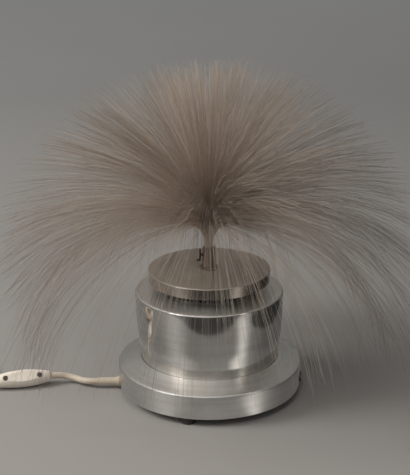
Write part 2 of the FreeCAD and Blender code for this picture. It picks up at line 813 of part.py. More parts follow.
module = S.gear_module.value
wheel_teeth = int(S.gear_teeth.value)
small_teeth = int(S.pinion_teeth.value)
half_leaf = 180 / small_teeth
pin_bore = S.pin_radius.value + S.running_clearance.value
thick = S.gear_thick.value
level_one = plate_level.value + 0.9
level_two = level_one + thick + 1.0
large_gear = toothed(wheel_teeth, module, pin_bore, thick)
leaf_gear = toothed(small_teeth, module, pin_bore, thick)
cluster = gear_at(large_gear, cluster_x.value, cluster_y.value, level_one, -60)
sleeve = Part.makeCylinder(1.1, 1.0).cut(Part.makeCylinder(pin_bore, 1.0))
cluster = cluster.fuse(gear_at(sleeve, cluster_x.value, cluster_y.value, level_one + thick, 0))
cluster = cluster.fuse(gear_at(leaf_gear, cluster_x.value, cluster_y.value, level_two, 240 + half_leaf))
piece("cluster_gear", set_shape(cluster.removeSplitter()))
output_gear = toothed(wheel_teeth, module, S.shaft_radius.value + 0.02, thick)
piece("output_gear", set_shape(gear_at(output_gear, shaft_at.value, 0, level_two, 60)))

# Rotor: a ring magnet with its pinion, turning on the middle pin.
rotor_low = S.can_level + 1.2
piece("rotor_magnet", turned([
    (S.pin_radius + S.running_clearance, rotor_low), (6.5, rotor_low), (6.5, coil_high - 0.4),
    (S.pin_radius + S.running_clearance, coil_high - 0.4)], S.can_centre))
pinion = gear_at(leaf_gear, S.can_centre.value, 0, level_one, 120 + half_leaf)
collar_height = level_one - coil_high.value + 0.4
collar = Part.makeCylinder(1.2, collar_height).cut(Part.makeCylinder(pin_bore, collar_height))
pinion = pinion.fuse(gear_at(collar, S.can_centre.value, 0, level_one - collar_height, 0))
piece("rotor_pinion", set_shape(pinion.removeSplitter()))

# Colour wheel: shaft, hub, spoked frame and four films.
shaft_low = plate_level + 0.6 + S.running_clearance
shaft_high = wheel_top + 3.0
piece("output_shaft", cylinder(S.shaft_radius, shaft_high - shaft_low, shaft_at, 0, shaft_low))
hub_low = cover_top + 1.8 + 0.4
piece("wheel_hub", turned([
    (S.shaft_radius, hub_low), (3.4, hub_low), (3.4, wheel_bottom - 1.4),
    (S.hub_radius + 2.4, wheel_bottom - 1.4),
    (S.hub_radius + 2.4, wheel_bottom), (S.hub_radius - 1, wheel_bottom), (S.hub_radius - 1, shaft_high),
    (S.shaft_radius, shaft_high)], shaft_at))
frame_inner = S.hub_radius + 4
frame_rim = S.wheel_radius - 2.2
wheel_disc = cylinder(S.wheel_radius, S.wheel_thick, shaft_at, 0, wheel_bottom)
rim_ring = cut(wheel_disc, bored(frame_rim, 4, wheel_bottom - 1, shaft_at))
spokes = [box(frame_rim * 2 + 1, S.spoke_width, S.wheel_thick, shaft_at, 0, wheel_bottom),
          box(S.spoke_width, frame_rim * 2 + 1, S.wheel_thick, shaft_at, 0, wheel_bottom)]
wheel_frame = fuse(rim_ring, *spokes, cylinder(frame_inner, S.wheel_thick, shaft_at, 0, wheel_bottom))
piece("wheel_frame", cut(wheel_frame, bored(S.hub_radius - 1, 4, wheel_bottom - 1, shaft_at)))


def film(number):
    disc = doc.addObject("Part::Cylinder", "film")
    bind(disc, "Radius", S.wheel_radius - 0.6)
    bind(disc, "Height", S.film_thick)
    disc.Angle = 89
    place(disc, shaft_at, 0, wheel_top, angle=90 * number + 0.5)
    return cut(disc, bored(S.hub_radius + 0.5, 4, wheel_top - 1, shaft_at))


piece("colour_films", together(*[film(number) for number in range(4)]))

# Lid, with the vent collar under it: an inverted cup whose slotted wall stands on the shoulder.
lid_shell = turned([
    (S.socket_tail_radius + S.hole_clearance, lid_under), (S.lid_radius - S.sheet_wall, lid_under),
    (S.lid_rim_radius - S.sheet_wall, lid_rim_bottom), (S.lid_rim_radius, lid_rim_bottom),
    (S.lid_radius, lid_top), (S.socket_tail_radius + S.hole_clearance, lid_top)])
piece("lid", rounded(lid_shell, S.sheet_wall * 0.9, (S.lid_radius, lid_top)))
collar_in = S.collar_radius - S.collar_wall
spigot_out = S.drum_opening_radius - S.spigot_clearance
spigot_in = spigot_out - S.collar_wall
collar_cup = turned([
    (S.socket_tail_radius + S.hole_clearance, lid_under - S.collar_wall),
    (collar_in, lid_under - S.collar_wall),
    (collar_in, shoulder + S.collar_wall), (spigot_in, shoulder + S.collar_wall),
    (spigot_in, shoulder - S.spigot_length), (spigot_out, shoulder - S.spigot_length), (spigot_out, shoulder),
    (S.collar_radius, shoulder), (S.collar_radius, lid_under),
    (S.socket_tail_radius + S.hole_clearance, lid_under)])
doc.recompute()
slot_body = doc.addObject("PartDesign::Body", "slots")
slot_tool = closed_sketch(slot_body, [
    (S.collar_radius - S.collar_wall * 2, -S.slot_width / 2), (S.collar_radius + 2, -S.slot_width / 2),
    (S.collar_radius + 2, S.slot_width / 2),
    (S.collar_radius - S.collar_wall * 2, S.slot_width / 2)], "XY_Plane")
slot_pull = slot_body.newObject("PartDesign::Pad", "slot")
slot_pull.Profile = slot_tool
bind(slot_pull, "Length", S.slot_height)
slot_ring = slot_body.newObject("PartDesign::PolarPattern", "slot_ring")
slot_ring.Originals = [slot_pull]
slot_ring.Axis = (next(o for o in slot_body.Origin.OriginFeatures if o.Role == "Z_Axis"), [""])
slot_ring.Angle = 360
bind(slot_ring, "Occurrences", S.slot_count)
slot_body.Tip = slot_ring
place(slot_body, up=shoulder + S.collar_wall + S.slot_foot)
piece("vent_collar", cut(collar_cup, slot_body))

# Socket for the fibre bundle: a slim tube with a thin flange on the lid; its tail passes through the
# lid and the collar and takes a nut from below. A hand screw with a bent tongue bears on the ferrule.
socket_bore = S.ferrule_radius + S.running_clearance
tail_low = lid_top - S.socket_tail
flange_level = lid_top + S.socket_flange_thick
socket_shell = turned([
    (socket_bore, tail_low), (S.socket_tail_radius, tail_low), (S.socket_tail_radius, lid_top),
    (S.socket_flange, lid_top), (S.socket_flange, flange_level), (S.socket_radius, flange_level),
    (S.socket_radius, socket_top - 0.4), (S.socket_radius - 0.4, socket_top), (socket_bore, socket_top)])
screw_level = lid_top + S.clamp_screw_level
tongue_out = S.socket_radius + 2.0 + S.screw_strip


def sideways(radius, start, length):
    return cylinder(radius, length, -Size.of(start), 0, screw_level, axis=(0, -1, 0), angle=90)


socket_angle = 12.0
socket_screw_bore = sideways(S.small_screw_radius + S.thread_clearance, 4, 6)
piece("bundle_socket", cut(socket_shell, swing(socket_angle, socket_screw_bore)))
nut_low = lid_under - S.collar_wall - 5
nut_high = lid_under - S.collar_wall
nut_bore = S.socket_tail_radius + S.thread_clearance
nut_blank = turned([(nut_bore, nut_low), (S.socket_nut_radius, nut_low), (S.socket_nut_radius, nut_high),
                    (nut_bore, nut_high)])
nut_flats = [swing(60 * number, box(4, 20, 12, -S.socket_nut_radius - 0.9, 0, nut_low - 3))
             for number in range(6)]
piece("socket_nut", cut(nut_blank, *nut_flats))
shank = sideways(S.small_screw_radius, S.ferrule_radius + 0.1, tongue_out - S.ferrule_radius - 0.5)
tongue_low = screw_level - S.screw_tongue / 2
tongue = box(S.screw_strip, 3, S.screw_tongue, S.screw_strip / 2 - tongue_out, 0, tongue_low)
foot = box(S.screw_foot, 3, S.screw_strip, 0.4 - tongue_out - S.screw_foot / 2, 0, tongue_low)
piece("socket_screw", swing(socket_angle, fuse(shank, tongue, foot)))

# Fibre bundle: a metal ferrule that stands on the socket, and the fibres gathered in it.
ferrule_top = socket_top + S.ferrule_stand
piece("bundle_ferrule", turned([
    (S.bundle_radius, bundle_bottom), (S.ferrule_radius, bundle_bottom), (S.ferrule_radius, socket_top),
    (S.ferrule_flange, socket_top), (S.ferrule_flange, ferrule_top - 0.6),
    (S.ferrule_flange - 0.6, ferrule_top),
    (S.bundle_radius, ferrule_top)]))


def fibre(number):
    """One fibre, a thin square strand in its own upright plane: straight, a short bend, a long droop."""
    pair = number // 2
    share = math.sqrt((pair + 1) / (S.fibre_count.value / 2 + 1))
    azimuth = pair * 68.75388 + number % 2 * 180
    wobble = math.sin(pair * 2.39996 + 0.7)
    droop = math.sin(pair * 1.7 + 0.3)
    half = S.fibre_side.value / 2
    reach = S.bundle_radius.value - half - 0.15
    at = Vector(reach * share, 0, bundle_bottom.value)
    bend_at = Vector(at.x, 0, ferrule_top.value + S.column_height.value - 6 * share)
    fan = math.radians(92) * share ** 1.15
    fall = math.radians(58) * share + math.radians(16) * share ** 4 + math.radians(14) * share ** 3 * droop
    free = (138 + 82 * share ** 2 + 20 * share ** 6) * (1 + 0.05 * wobble)
    aside = Vector(half, 0, 0)
    inner = [Part.LineSegment(at - aside, bend_at - aside).toShape()]
    outer = [Part.LineSegment(at + aside, bend_at + aside).toShape()]
    turned_by = 0.0
    corner = bend_at
    for length, turn in ((S.fan_length.value, max(fan, 0.02)), (free, max(fall, 0.02))):
        radius = length / turn
        centre = corner + Vector(math.cos(turned_by), 0, -math.sin(turned_by)) * radius
        ways = [Vector(-math.cos(turned_by + turn * part), 0, math.sin(turned_by + turn * part))
                for part in (0, 0.5, 1)]
        inner.append(Part.Arc(*[centre + way * (radius + half) for way in ways]).toShape())
        outer.append(Part.Arc(*[centre + way * (radius - half) for way in ways]).toShape())
        corner = centre + ways[2] * radius
        turned_by += turn
    ends = [Part.LineSegment(at - aside, at + aside).toShape(),
            Part.LineSegment(corner + ways[2] * half, corner - ways[2] * half).toShape()]
    strand = Part.Face(Part.Wire(Part.__sortEdges__(inner + outer + ends))).extrude(Vector(0, half * 2, 0))
    strand.translate(Vector(0, -half, 0))
    strand.rotate(Vector(), Vector(0, 0, 1), azimuth)
    return strand


fibres = [fibre(number) for number in range(int(S.fibre_count.value))]
piece("fibre_spray", set_shape(*fibres))

# Screws through the base plate with their nuts, for the brackets, the clamp and the block.
chassis_screws = []
chassis_nuts = []
for spots in chassis_screw_places.values():
    for x, y in spots:
        chassis_screws.append(washer_head_screw(S.small_screw_radius, 2.75, 1.8, 6.5, x, y, plate_bottom,
                                                upside_down=True))
        chassis_nuts.append(nut(S.small_screw_radius, 3.1, 2.4, x, y, chassis + S.bracket_steel))
seats = [(S.block_at, 0, block_top)] + [(S.clamp_at, side, chassis + clamp_height) for side in clamp_sides]
for x, y, seat in seats:
    length = seat - plate_bottom + 3.2
    chassis_screws.append(swing(S.cord_angle, washer_head_screw(S.small_screw_radius, 2.75, 1.8, length, x, y,
                                                                plate_bottom, upside_down=True)))
    chassis_nuts.append(swing(S.cord_angle, nut(S.small_screw_radius, 3.1, 2.4, x, y, seat)))
piece("chassis_screws", together(*chassis_screws))
piece("chassis_nuts", together(*chassis_nuts, *motor_nuts))

# Mains cord where the base holds it, and the cores and leads inside the base.
cord = S.cord_radius.value
tail_end = relief_end.value
exit_at = S.exit_level.value
piece("cord_in_base", set_shape(tube([
    at_cord(S.sheath_end.value), at_cord(S.clamp_at.value + 8), at_cord(S.clamp_at.value + 16, 0, exit_at),
    at_cord(tail_end, 0, exit_at)], cord, "cord in base")))
core_start = S.sheath_end.value - 0.2
cores = [tube([at_cord(core_start, side * 1.5), at_cord(core_start - 2.2, side * 1.8),
               at_cord(core_start - 5.2, side * 4.6), at_cord(core_start - 10.8, side * 5.0)], 1.1)
         for side in (1, -1)]
piece("mains_cores", set_shape(*cores))
lamp_side = S.holder_radius.value
lamp_leads = [tube([at_cord(35.0, side * 4.3), at_cord(29.0, side * 4.5), at_cord(23.0, side * 5.2, 17.0),
                    at_cord(lamp_side + 3, side * 4.6, 23.0), at_cord(lamp_side + 0.1, side * 3.0, 24.0)], 0.9)
              for side in (1, -1)]
lead_side = S.can_radius.value * 0.76
lead_leg = S.can_centre.value + S.can_radius.value - 1.5
motor_leads = []
for side, level in ((-1, 11.0), (1, 13.4)):
    out = 0 if side < 0 else 2.0
    motor_leads.append(tube([
        at_cord(35.0, side * 6.2), at_cord(29.6, side * 6.3), at_cord(26.0, side * 6.6, level + 2),
        (-12.0, 24.0 - out, level), (9.0, 25.0 - out, level),
        (26.0, 19.0 - out, level), (42.0, 13.0 + out * 0.2, level + 2), (lead_leg, lead_side + out * 0.8, 26.0),
        (lead_leg + 0.4, lead_side + out * 0.8, 62.0),
        (lead_leg - 1.0, lead_side + out * 0.8, 75.0)], 0.55))
piece("inner_leads", set_shape(*lamp_leads, *motor_leads))

# In-line switch: a barrel-shaped casing in two halves, lying on its round side, screws upward.
half_length = S.switch_length / 2
half_width = S.switch_width / 2
half_depth = S.switch_depth / 2


def barrel(length_cut, thinner, depth):
    ends = half_length - length_cut
    body = turned([(0, -ends), (S.switch_end_radius - thinner, -ends),
                   (S.switch_end_radius - thinner, ends, -(half_width - S.switch_end_radius)), (0, ends)])
    lying = place(body, axis=(0, 1, 0), angle=90)
    return common(lying, box(S.switch_length, S.switch_width, depth * 2, up=-depth))


casing = cut(barrel(0, 0, half_depth), barrel(2.0, S.switch_wall, half_depth - S.switch_wall))
screw_spots = (17.0, -17.0)
boss_height = half_depth - 1.0
bosses = [cylinder(2.8, boss_height * 2, spot, 0, -boss_height) for spot in screw_spots]
cord_bores = [cylinder(S.cord_radius + S.cord_clearance, 6, spot, 0, 0, axis=(0, 1, 0), angle=90)
              for spot in (half_length - 5.5, -half_length - 0.5)]
solid_casing = cut(fuse(casing, *bosses), *cord_bores,
                   *[bored(1.35, S.switch_depth, -4, spot) for spot in screw_spots],
                   *[bored(2.7, 4, half_depth - 2.0, spot) for spot in screw_spots])
upper_half = box(S.switch_length + 2, S.switch_width + 2, S.switch_depth, up=0)
lower_half = box(S.switch_length + 2, S.switch_width + 2, S.switch_depth, up=-S.switch_depth)
pivot_level = -4.5
rocker_window = box(S.rocker_length + 1.8, S.rocker_width + 0.8, 4, up=-half_depth - 1)
lugs = [box(4.4, 1.4, 3.4, 0, side * (S.rocker_width.value / 2 + 1.1), -half_depth + S.switch_wall - 0.4)
        for side in (1, -1)]
pivot_bore = cylinder(1.0 + S.running_clearance, 12, 0, 6, pivot_level, axis=(1, 0, 0), angle=90)
switch_at = (-186.8, 4.0)
switch_heading = 193.3
switch_tilt = 48.0
lie = Rotation(Vector(0, 0, 1), switch_heading) * Rotation(Vector(1, 0, 0), -switch_tilt)


def on_switch(*things):
    group = together(*things)
    group.Placement = Placement(Vector(*switch_at, half_width.value), lie)
    group.setExpression("Placement.Base.z", half_width.text)
    return group


piece("switch_cover", on_switch(common(solid_casing, upper_half)))
piece("switch_base", on_switch(cut(fuse(common(solid_casing, lower_half), *lugs), rocker_window, pivot_bore)))
piece("switch_screws", on_switch(*[
    cut(fuse(cylinder(2.3, 1.4, spot, 0, half_depth - 2.0), cylinder(1.3, 8, spot, 0, half_depth - 10.0)),
        box(5, 0.6, 0.7, spot, 0, half_depth - 1.2)) for spot in screw_spots]))
piece("switch_terminals", on_switch(*[box(5, 5, 6.4, spot, 0, -half_depth + S.switch_wall)
                                      for spot in (11.5, -11.5)]))
piece("cord_in_switch", on_switch(*[cylinder(S.cord_radius, 5, spot, 0, 0, axis=(0, 1, 0), angle=90)
                                    for spot in (half_length - 5, -half_length)]))
rocker_half = S.rocker_length / 2
rocker_outline = pad([
    (-rocker_half, 8.0), (0, 7.4), (rocker_half, 8.0), (rocker_half, 5.2), (2.2, 2.8), (-2.2, 2.8),
    (-rocker_half, 5.2)], S.rocker_width)
place(rocker_outline, back=S.rocker_width / 2, axis=(1, 0, 0), angle=90)
rocker_pin = cylinder(1.0, S.rocker_width + 3.4, 0, S.rocker_width / 2 + 1.7, -pivot_level,
                      axis=(1, 0, 0), angle=90)
rocker = together(fuse(rocker_outline, rocker_pin))
rocker.Placement = Placement(Vector(), Rotation(Vector(1, 0, 0), 180))
tipped = together(rocker)
tip = Rotation(Vector(0, 1, 0), S.rocker_swing.value)
tipped.Placement = Placement(Vector(), tip, Vector(0, 0, pivot_level))
piece("switch_rocker", on_switch(tipped))

# Free mains cord: from the strain relief in the left of the rim out to the switch, then on to the
# coil. Points are the corners of the route; the last ones are on the axis of the switch.
table_level = cord + 0.05
axis_level = half_width.value


def off_switch(distance):
    """A point on the switch's own axis, at a distance from its middle."""
    angle = math.radians(switch_heading)
    return (switch_at[0] + distance * math.cos(angle), switch_at[1] + distance * math.sin(angle), axis_level)


near_route = [
    at_cord(tail_end, 0, exit_at), at_cord(tail_end + 8.5, 0, exit_at), (-127.5, 5.0, 6.2),
    (-134.3, 11.0, 5.9), (-143.0, 13.8, 6.8), off_switch(-half_length.value - 9.5), off_switch(-half_length.value)]
piece("mains_cord", set_shape(tube(near_route, cord, "lamp to switch")))
coil_middle = (-268.0, 22.0)
coil_turn = 34.0
turn_step = 2 * cord
coil_layers = 2


def on_coil(radius, degrees, level):
    angle = math.radians(degrees)
    return (coil_middle[0] + radius * math.cos(angle), coil_middle[1] + radius * math.sin(angle), level)


outer_turn = coil_turn + turn_step
far_route = [
    off_switch(half_length.value), off_switch(half_length.value + 9.0), (-232.0, -7.4, 4.2),
    (-243.0, -11.8, table_level), on_coil(outer_turn, 290, table_level)]
piece("cord_to_coil", set_shape(tube(far_route, cord, "switch to coil")))
coil_height = coil_layers * turn_step + 0.05
coil_ring = Part.makeCylinder(outer_turn + cord, coil_height).cut(
    Part.makeCylinder(coil_turn - turn_step - cord, coil_height))
coil_ring = coil_ring.makeFillet(cord * 0.9, [edge for edge in coil_ring.Edges if edge.Closed])
coil_ring.translate(Vector(*coil_middle, 0))
piece("cord_coil", set_shape(coil_ring))

# Plug: a flat two-pin plug lying beside the coil, its moulded tail meeting the cord.
plug_at = (-322.0, 26.0)
plug_level = S.plug_depth / 2
tail = fuse(cone(S.cord_radius + 0.8, 5.6, S.plug_relief, axis=(0, 1, 0), angle=90),
            place(pad([(0, -6.0), (0, 6.0), (9, S.plug_width / 2), (S.plug_length, S.plug_width / 2 - 1.5),
                       (S.plug_length, -S.plug_width / 2 + 1.5), (9, -S.plug_width / 2)][::-1], S.plug_depth),
                  across=S.plug_relief, up=-plug_level))


def on_plug(*things):
    group = together(*things)
    place(group, *plug_at, plug_level, angle=90)
    return group


plug_pins = [cylinder(S.plug_pin_radius, S.plug_pin_length + 4, S.plug_relief + S.plug_length - 4,
                      S.pin_pitch * side / 2, 0, axis=(0, 1, 0), angle=90) for side in (1, -1)]
piece("plug_body", on_plug(cut(tail, *plug_pins)))
piece("plug_pins", on_plug(*plug_pins))
plug_route = [
    on_coil(outer_turn, 250, 9.3), on_coil(outer_turn + 3.2, 231, 8.8), on_coil(outer_turn + 9.0, 214, 7.6),
    (-316.4, 2.5, 7.1), (plug_at[0], 14.5, plug_level.value),
    (*plug_at, plug_level.value)]
piece("plug_cord", set_shape(tube(plug_route, cord, "coil to plug")))

doc.recompute()
failed = [thing.Label for thing in doc.Objects if {"Invalid", "Error"} & set(thing.State)]
if failed:
    raise RuntimeError(f"objects that did not compute: {failed}")
for node, thing in pieces.items():
    shape = thing.Shape
    if shape.isNull() or not shape.isValid() or not shape.Solids:
        raise RuntimeError(f"{node} has no valid solid")
    shape = shape.Solids[0] if len(shape.Solids) == 1 else Part.makeCompound(shape.Solids)
    shape.exportStep(f"parts/{node}.step")
    print(node, len(thing.Shape.Solids), round(thing.Shape.Volume, 1))
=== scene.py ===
import math

import bmesh
import bpy
from mathutils import Matrix, Vector


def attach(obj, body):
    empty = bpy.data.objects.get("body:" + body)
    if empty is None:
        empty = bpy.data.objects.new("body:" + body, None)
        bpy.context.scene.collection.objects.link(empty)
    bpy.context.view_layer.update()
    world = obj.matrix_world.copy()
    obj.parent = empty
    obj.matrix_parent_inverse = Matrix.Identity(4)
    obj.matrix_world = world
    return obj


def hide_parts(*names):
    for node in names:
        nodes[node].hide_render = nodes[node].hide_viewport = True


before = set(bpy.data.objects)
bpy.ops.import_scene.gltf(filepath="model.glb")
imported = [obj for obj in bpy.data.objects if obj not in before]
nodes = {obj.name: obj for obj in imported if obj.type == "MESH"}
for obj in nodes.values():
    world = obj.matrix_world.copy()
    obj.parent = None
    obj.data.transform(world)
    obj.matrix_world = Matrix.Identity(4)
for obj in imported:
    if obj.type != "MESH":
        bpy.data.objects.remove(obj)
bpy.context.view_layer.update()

scene = bpy.context.scene

# The studio: a wide grey table in a grey room, with a large soft lamp on the left and a small one over
# the front. The polished metal sees lights of its own: two soft boxes at the front, a bright part of
# the room high at the front left, and a card on the table with a bright band to either side.
scene.view_settings.view_transform = "Standard"

camera_heading = 0.00293854
camera_drop = 0.3296357
camera_lean = -0.0062096
camera = bpy.data.objects.new("camera", bpy.data.cameras.new("camera"))
camera.data.lens = 105.58
camera.data.sensor_width = 36.0
camera.data.clip_end = 50.0
camera.location = (0.0, -1.26523, 0.59069)
camera.rotation_euler = (
    Matrix.Rotation(camera_heading, 3, "Z")
    @ Matrix.Rotation(math.pi / 2 - camera_drop, 3, "X")
    @ Matrix.Rotation(camera_lean, 3, "Z")
).to_euler()
scene.collection.objects.link(camera)
scene.camera = camera


class Field:
    """A value that a node tree works out; arithmetic on it adds maths nodes to that tree."""

    def __init__(self, socket):
        self.socket = socket

    def __add__(self, other):
        return maths("ADD", self, other)

    def __radd__(self, other):
        return maths("ADD", other, self)

    def __sub__(self, other):
        return maths("SUBTRACT", self, other)

    def __rsub__(self, other):
        return maths("SUBTRACT", other, self)

    def __mul__(self, other):
        return maths("MULTIPLY", self, other)

    def __rmul__(self, other):
        return maths("MULTIPLY", other, self)

    def __truediv__(self, other):
        return maths("DIVIDE", self, other)

    def __pow__(self, other):
        return maths("POWER", self, other)


def tree_of(*values):
    """The node tree of the first field among the values."""
    return next(value.socket.id_data for value in values if isinstance(value, Field))


def fill(node, sockets):
    """Sets a node's inputs: a plain value sets one, a field is linked to it."""
    for key, value in dict(sockets).items():
        if isinstance(value, Field):
            node.id_data.links.new(value.socket, node.inputs[key])
        else:
            node.inputs[key].default_value = value


def add_node(tree, kind, sockets=(), **settings):
    """Adds a node and sets its properties, then its inputs."""
    node = tree.nodes.new(kind)
    for name, value in settings.items():
        setattr(node, name, value)
    fill(node, sockets)
    return node


def field(tree, kind, output, sockets=(), **settings):
    """Adds a node and gives one of its outputs."""
    return Field(add_node(tree, kind, sockets, **settings).outputs[output])


def maths(operation, *values, clamp=False):
    """A maths node on fields and plain numbers."""
    settings = {"operation": operation, "use_clamp": clamp}
    return field(tree_of(*values), "ShaderNodeMath", 0, enumerate(values), **settings)


def vectors(operation, first, second=None):
    """A vector maths node on one or two vectors, or for SCALE on a vector and a number."""
    sockets = {0: first}
    if second is not None:
        sockets[3 if operation == "SCALE" else 1] = second
    output = "Value" if operation in ("LENGTH", "DOT_PRODUCT") else "Vector"
    return field(tree_of(first), "ShaderNodeVectorMath", output, sockets, operation=operation)


def combined(x, y, z):
    """A vector from three numbers."""
    return field(tree_of(x, y, z), "ShaderNodeCombineXYZ", 0, {"X": x, "Y": y, "Z": z})


def split(vector):
    """The three numbers of a vector."""
    parts = add_node(tree_of(vector), "ShaderNodeSeparateXYZ", {0: vector})
    return [Field(socket) for socket in parts.outputs]


def from_axis(place):
    """How far a place is from the lamp's axis."""
    x, y, z = split(place)
    return vectors("LENGTH", combined(x, y, 0.0))


def ranged(value, start, end, first=0.0, last=1.0, kind="LINEAR"):
    """A number taken from one range to another and held at both ends."""
    sockets = {"Value": value, "From Min": start, "From Max": end, "To Min": first, "To Max": last}
    return field(tree_of(value), "ShaderNodeMapRange", "Result", sockets, interpolation_type=kind)


def noise(place, scale, detail, roughness=0.5):
    """Noise at a place, from nought to one."""
    sockets = {"Vector": place, "Scale": scale, "Detail": detail, "Roughness": roughness}
    return field(tree_of(place), "ShaderNodeTexNoise", "Fac", sockets)


def blended(share, first, second, kind="FLOAT"):
    """A share of the way from one number or colour to another."""
    sockets = {"Factor": share, "A": first, "B": second}
    return field(tree_of(share, first, second), "ShaderNodeMix", "Result", sockets, data_type=kind)


def colour_ramp(value, stops, kind="LINEAR"):
    """A colour that follows a value through stops, each a position and a colour."""
    node = add_node(tree_of(value), "ShaderNodeValToRGB", {"Fac": value})
    node.color_ramp.interpolation = kind
    first, *between, last = stops
    for element, (position, colour) in zip(node.color_ramp.elements, (first, last)):
        element.position = position
        element.color = (*colour, 1.0)
    for position, colour in between:
        node.color_ramp.elements.new(position).color = (*colour, 1.0)
    return Field(node.outputs["Color"])


def new_material(name):
    """A material with a bare Principled shader; also its tree, the shader and the place on the piece."""
    material = bpy.data.materials.new(name)
    material.use_nodes = True
    tree = material.node_tree
    return material, tree, tree.nodes["Principled BSDF"], field(tree, "ShaderNodeTexCoord", "Object")


def mesh_object(name, vertices, faces):
    """A mesh object from plain lists, shaded smooth, its faces turned outward."""
    mesh = bpy.data.meshes.new(name)
    mesh.from_pydata(vertices, [], faces)
    shape = bmesh.new()
    shape.from_mesh(mesh)
    bmesh.ops.recalc_face_normals(shape, faces=shape.faces)
    shape.to_mesh(mesh)
    shape.free()
    mesh.shade_smooth()
    thing = bpy.data.objects.new(name, mesh)
    scene.collection.objects.link(thing)
    return thing


circle_steps = 96


def circle(radius, level, middle_y=0.0):
    """Evenly spaced points round a level circle."""
    turns = [math.tau * k / circle_steps for k in range(circle_steps)]
    return [(radius * math.cos(turn), radius * math.sin(turn) + middle_y, level) for turn in turns]


table_paint, tree, shader, place = new_material("grey_table")
# Painted light: the table's colour is graded with depth. It is lighter just in front of the lamp, darker a
# little behind it, and lighter again far back.
depth = ranged(split(place)[1], -0.5, 2.5)
mottle = noise(place, 2.5, 4.0) * 0.06
table_tones_painted_light = ((0.05, (0.350, 0.330, 0.310)), (0.28, (0.312, 0.299, 0.285)), (0.62, (0.345, 0.340, 0.331)),
               (1.0, (0.50, 0.50, 0.495)))
fill(shader, {"Base Color": colour_ramp(depth + mottle, table_tones_painted_light), "Roughness": 0.9,
              "Specular IOR Level": 0.0})
table = mesh_object("table", circle(6.0, 0.0, middle_y=1.0), [list(range(circle_steps))])
table.data.materials.append(table_paint)


def soft_lamp(name, at, aim, size, power, colour=(1.0, 0.98, 0.95)):
    """A rectangular soft lamp, facing the point that it is aimed at."""
    lamp = bpy.data.lights.new(name, "AREA")
    lamp.shape = "RECTANGLE"
    lamp.size, lamp.size_y = size
    lamp.energy = power
    lamp.color = colour
    thing = bpy.data.objects.new(name, lamp)
    thing.location = at
    thing.rotation_euler = (Vector(aim) - Vector(at)).to_track_quat("-Z", "Y").to_euler()
    scene.collection.objects.link(thing)
    return thing


key_lamp = soft_lamp("key_lamp", (-2.0, -0.2, 1.6), (0.0, 0.0, 0.1), (1.1, 1.1), 50.0)
front_lamp = soft_lamp("front_lamp", (-0.05, -0.75, 1.3), (0.0, -0.34, 0.0), (0.4, 0.3), 3.6,
                       (1.0, 0.97, 0.93))
key_lamp.visible_glossy = False
front_lamp.visible_glossy = False
soft_lamp("left_box", (-1.35, -0.98, 0.95), (0.0, 0.0, 0.05), (0.7, 0.9), 3.6)
soft_lamp("right_box", (1.35, -0.98, 0.95), (0.0, 0.0, 0.05), (0.22, 0.9), 1.3)

dome_heading = (-0.587, -0.492, 0.643)
light_left, light_right = (0.365, 0.365, 0.365, 1.0), (0.12, 0.12, 0.12, 1.0)
wall_left, wall_right = (0.27, 0.27, 0.265, 1.0), (0.085, 0.083, 0.080, 1.0)
world = bpy.data.worlds.new("grey_room")
world.use_nodes = True
scene.world = world
tree = world.node_tree
rays = add_node(tree, "ShaderNodeLightPath").outputs
seen = maths("MAXIMUM", Field(rays["Is Camera Ray"]), Field(rays["Is Glossy Ray"]))
seen = maths("MAXIMUM", seen, Field(rays["Is Transmission Ray"]))
heading = field(tree, "ShaderNodeTexCoord", "Generated")
across, deep, upward = split(heading)
rightward = ranged(across, -0.8, 0.9)
dome = maths("MAXIMUM", vectors("DOT_PRODUCT", heading, dome_heading), 0.0) ** 1.5
dome = (dome * 0.75 + 0.15) * ranged(upward, 0.25, 0.55)
walls = vectors("ADD", blended(rightward, wall_left, wall_right, "RGBA"), dome)
room = blended(seen, blended(rightward, light_left, light_right, "RGBA"), walls, "RGBA")
fill(tree.nodes["Background"], {"Color": room})


def card_glow(place):
    """How brightly the card glows at a place: plain, with two bands, and dark past the front and right."""
    across, deep, level = split(place)
    apex_side, apex_front = 0.037, -0.068

    def heading_from(side):
        """The heading of the place from one side of the drum, from the front round to the right."""
        return maths("ARCTAN2", across - apex_side * side, apex_front - deep)

    def eased(value, start, end, first, last):
        """A smooth step from one value to another."""
        return ranged(value, start, end, first, last, "SMOOTHSTEP")

    def band(side, middle, spread, strength):
        """A bright band that leads away from one side of the drum, wider beside the rim."""
        off = heading_from(side) - math.radians(middle) + beside * math.radians(middle * 0.18)
        off = maths("ABSOLUTE", off) / (beside * 0.7 + 1.0)
        return eased(off, 0.0, math.radians(spread), strength, 0.0)

    beside = eased(from_axis(place), 0.14, 0.165, 1.0, 0.0)
    plain = eased(heading_from(1), math.radians(64), math.radians(112), 0.20, 0.10)
    front_edge = eased(deep, -0.234, -0.224, 0.22, 1.0)
    right_edge = eased(across, 0.212, 0.224, 1.0, 0.28)
    bands = band(-1, -56.0, 38.0, 0.19) + band(1, 55.0, 22.0, 0.42)
    return (bands + plain * front_edge * right_edge) * (beside * 0.25 + 1.0)


card_level, card_rim, card_bore = 0.002, 1.6, 0.092
floor_card, tree, shader, place = new_material("floor_card")
fill(shader, {"Base Color": (0.0, 0.0, 0.0, 1.0), "Specular IOR Level": 0.0,
              "Emission Color": (1.0, 0.975, 0.945, 1.0), "Emission Strength": card_glow(place)})
card = mesh_object("floor_card", circle(card_rim, card_level) + circle(card_bore, card_level), [
    (k, (k + 1) % circle_steps, circle_steps + (k + 1) % circle_steps, circle_steps + k)
    for k in range(circle_steps)])
card.data.materials.append(floor_card)
card.visible_camera = False
card.visible_diffuse = False
card.visible_shadow = False
card.visible_transmission = False

# Base ring: one spinning of aluminium with a rolled lip, a rim, a sloping flange and a shelf. It
# carries fine rings of tool marks, a shine smeared across those rings, and the smudges of handling.


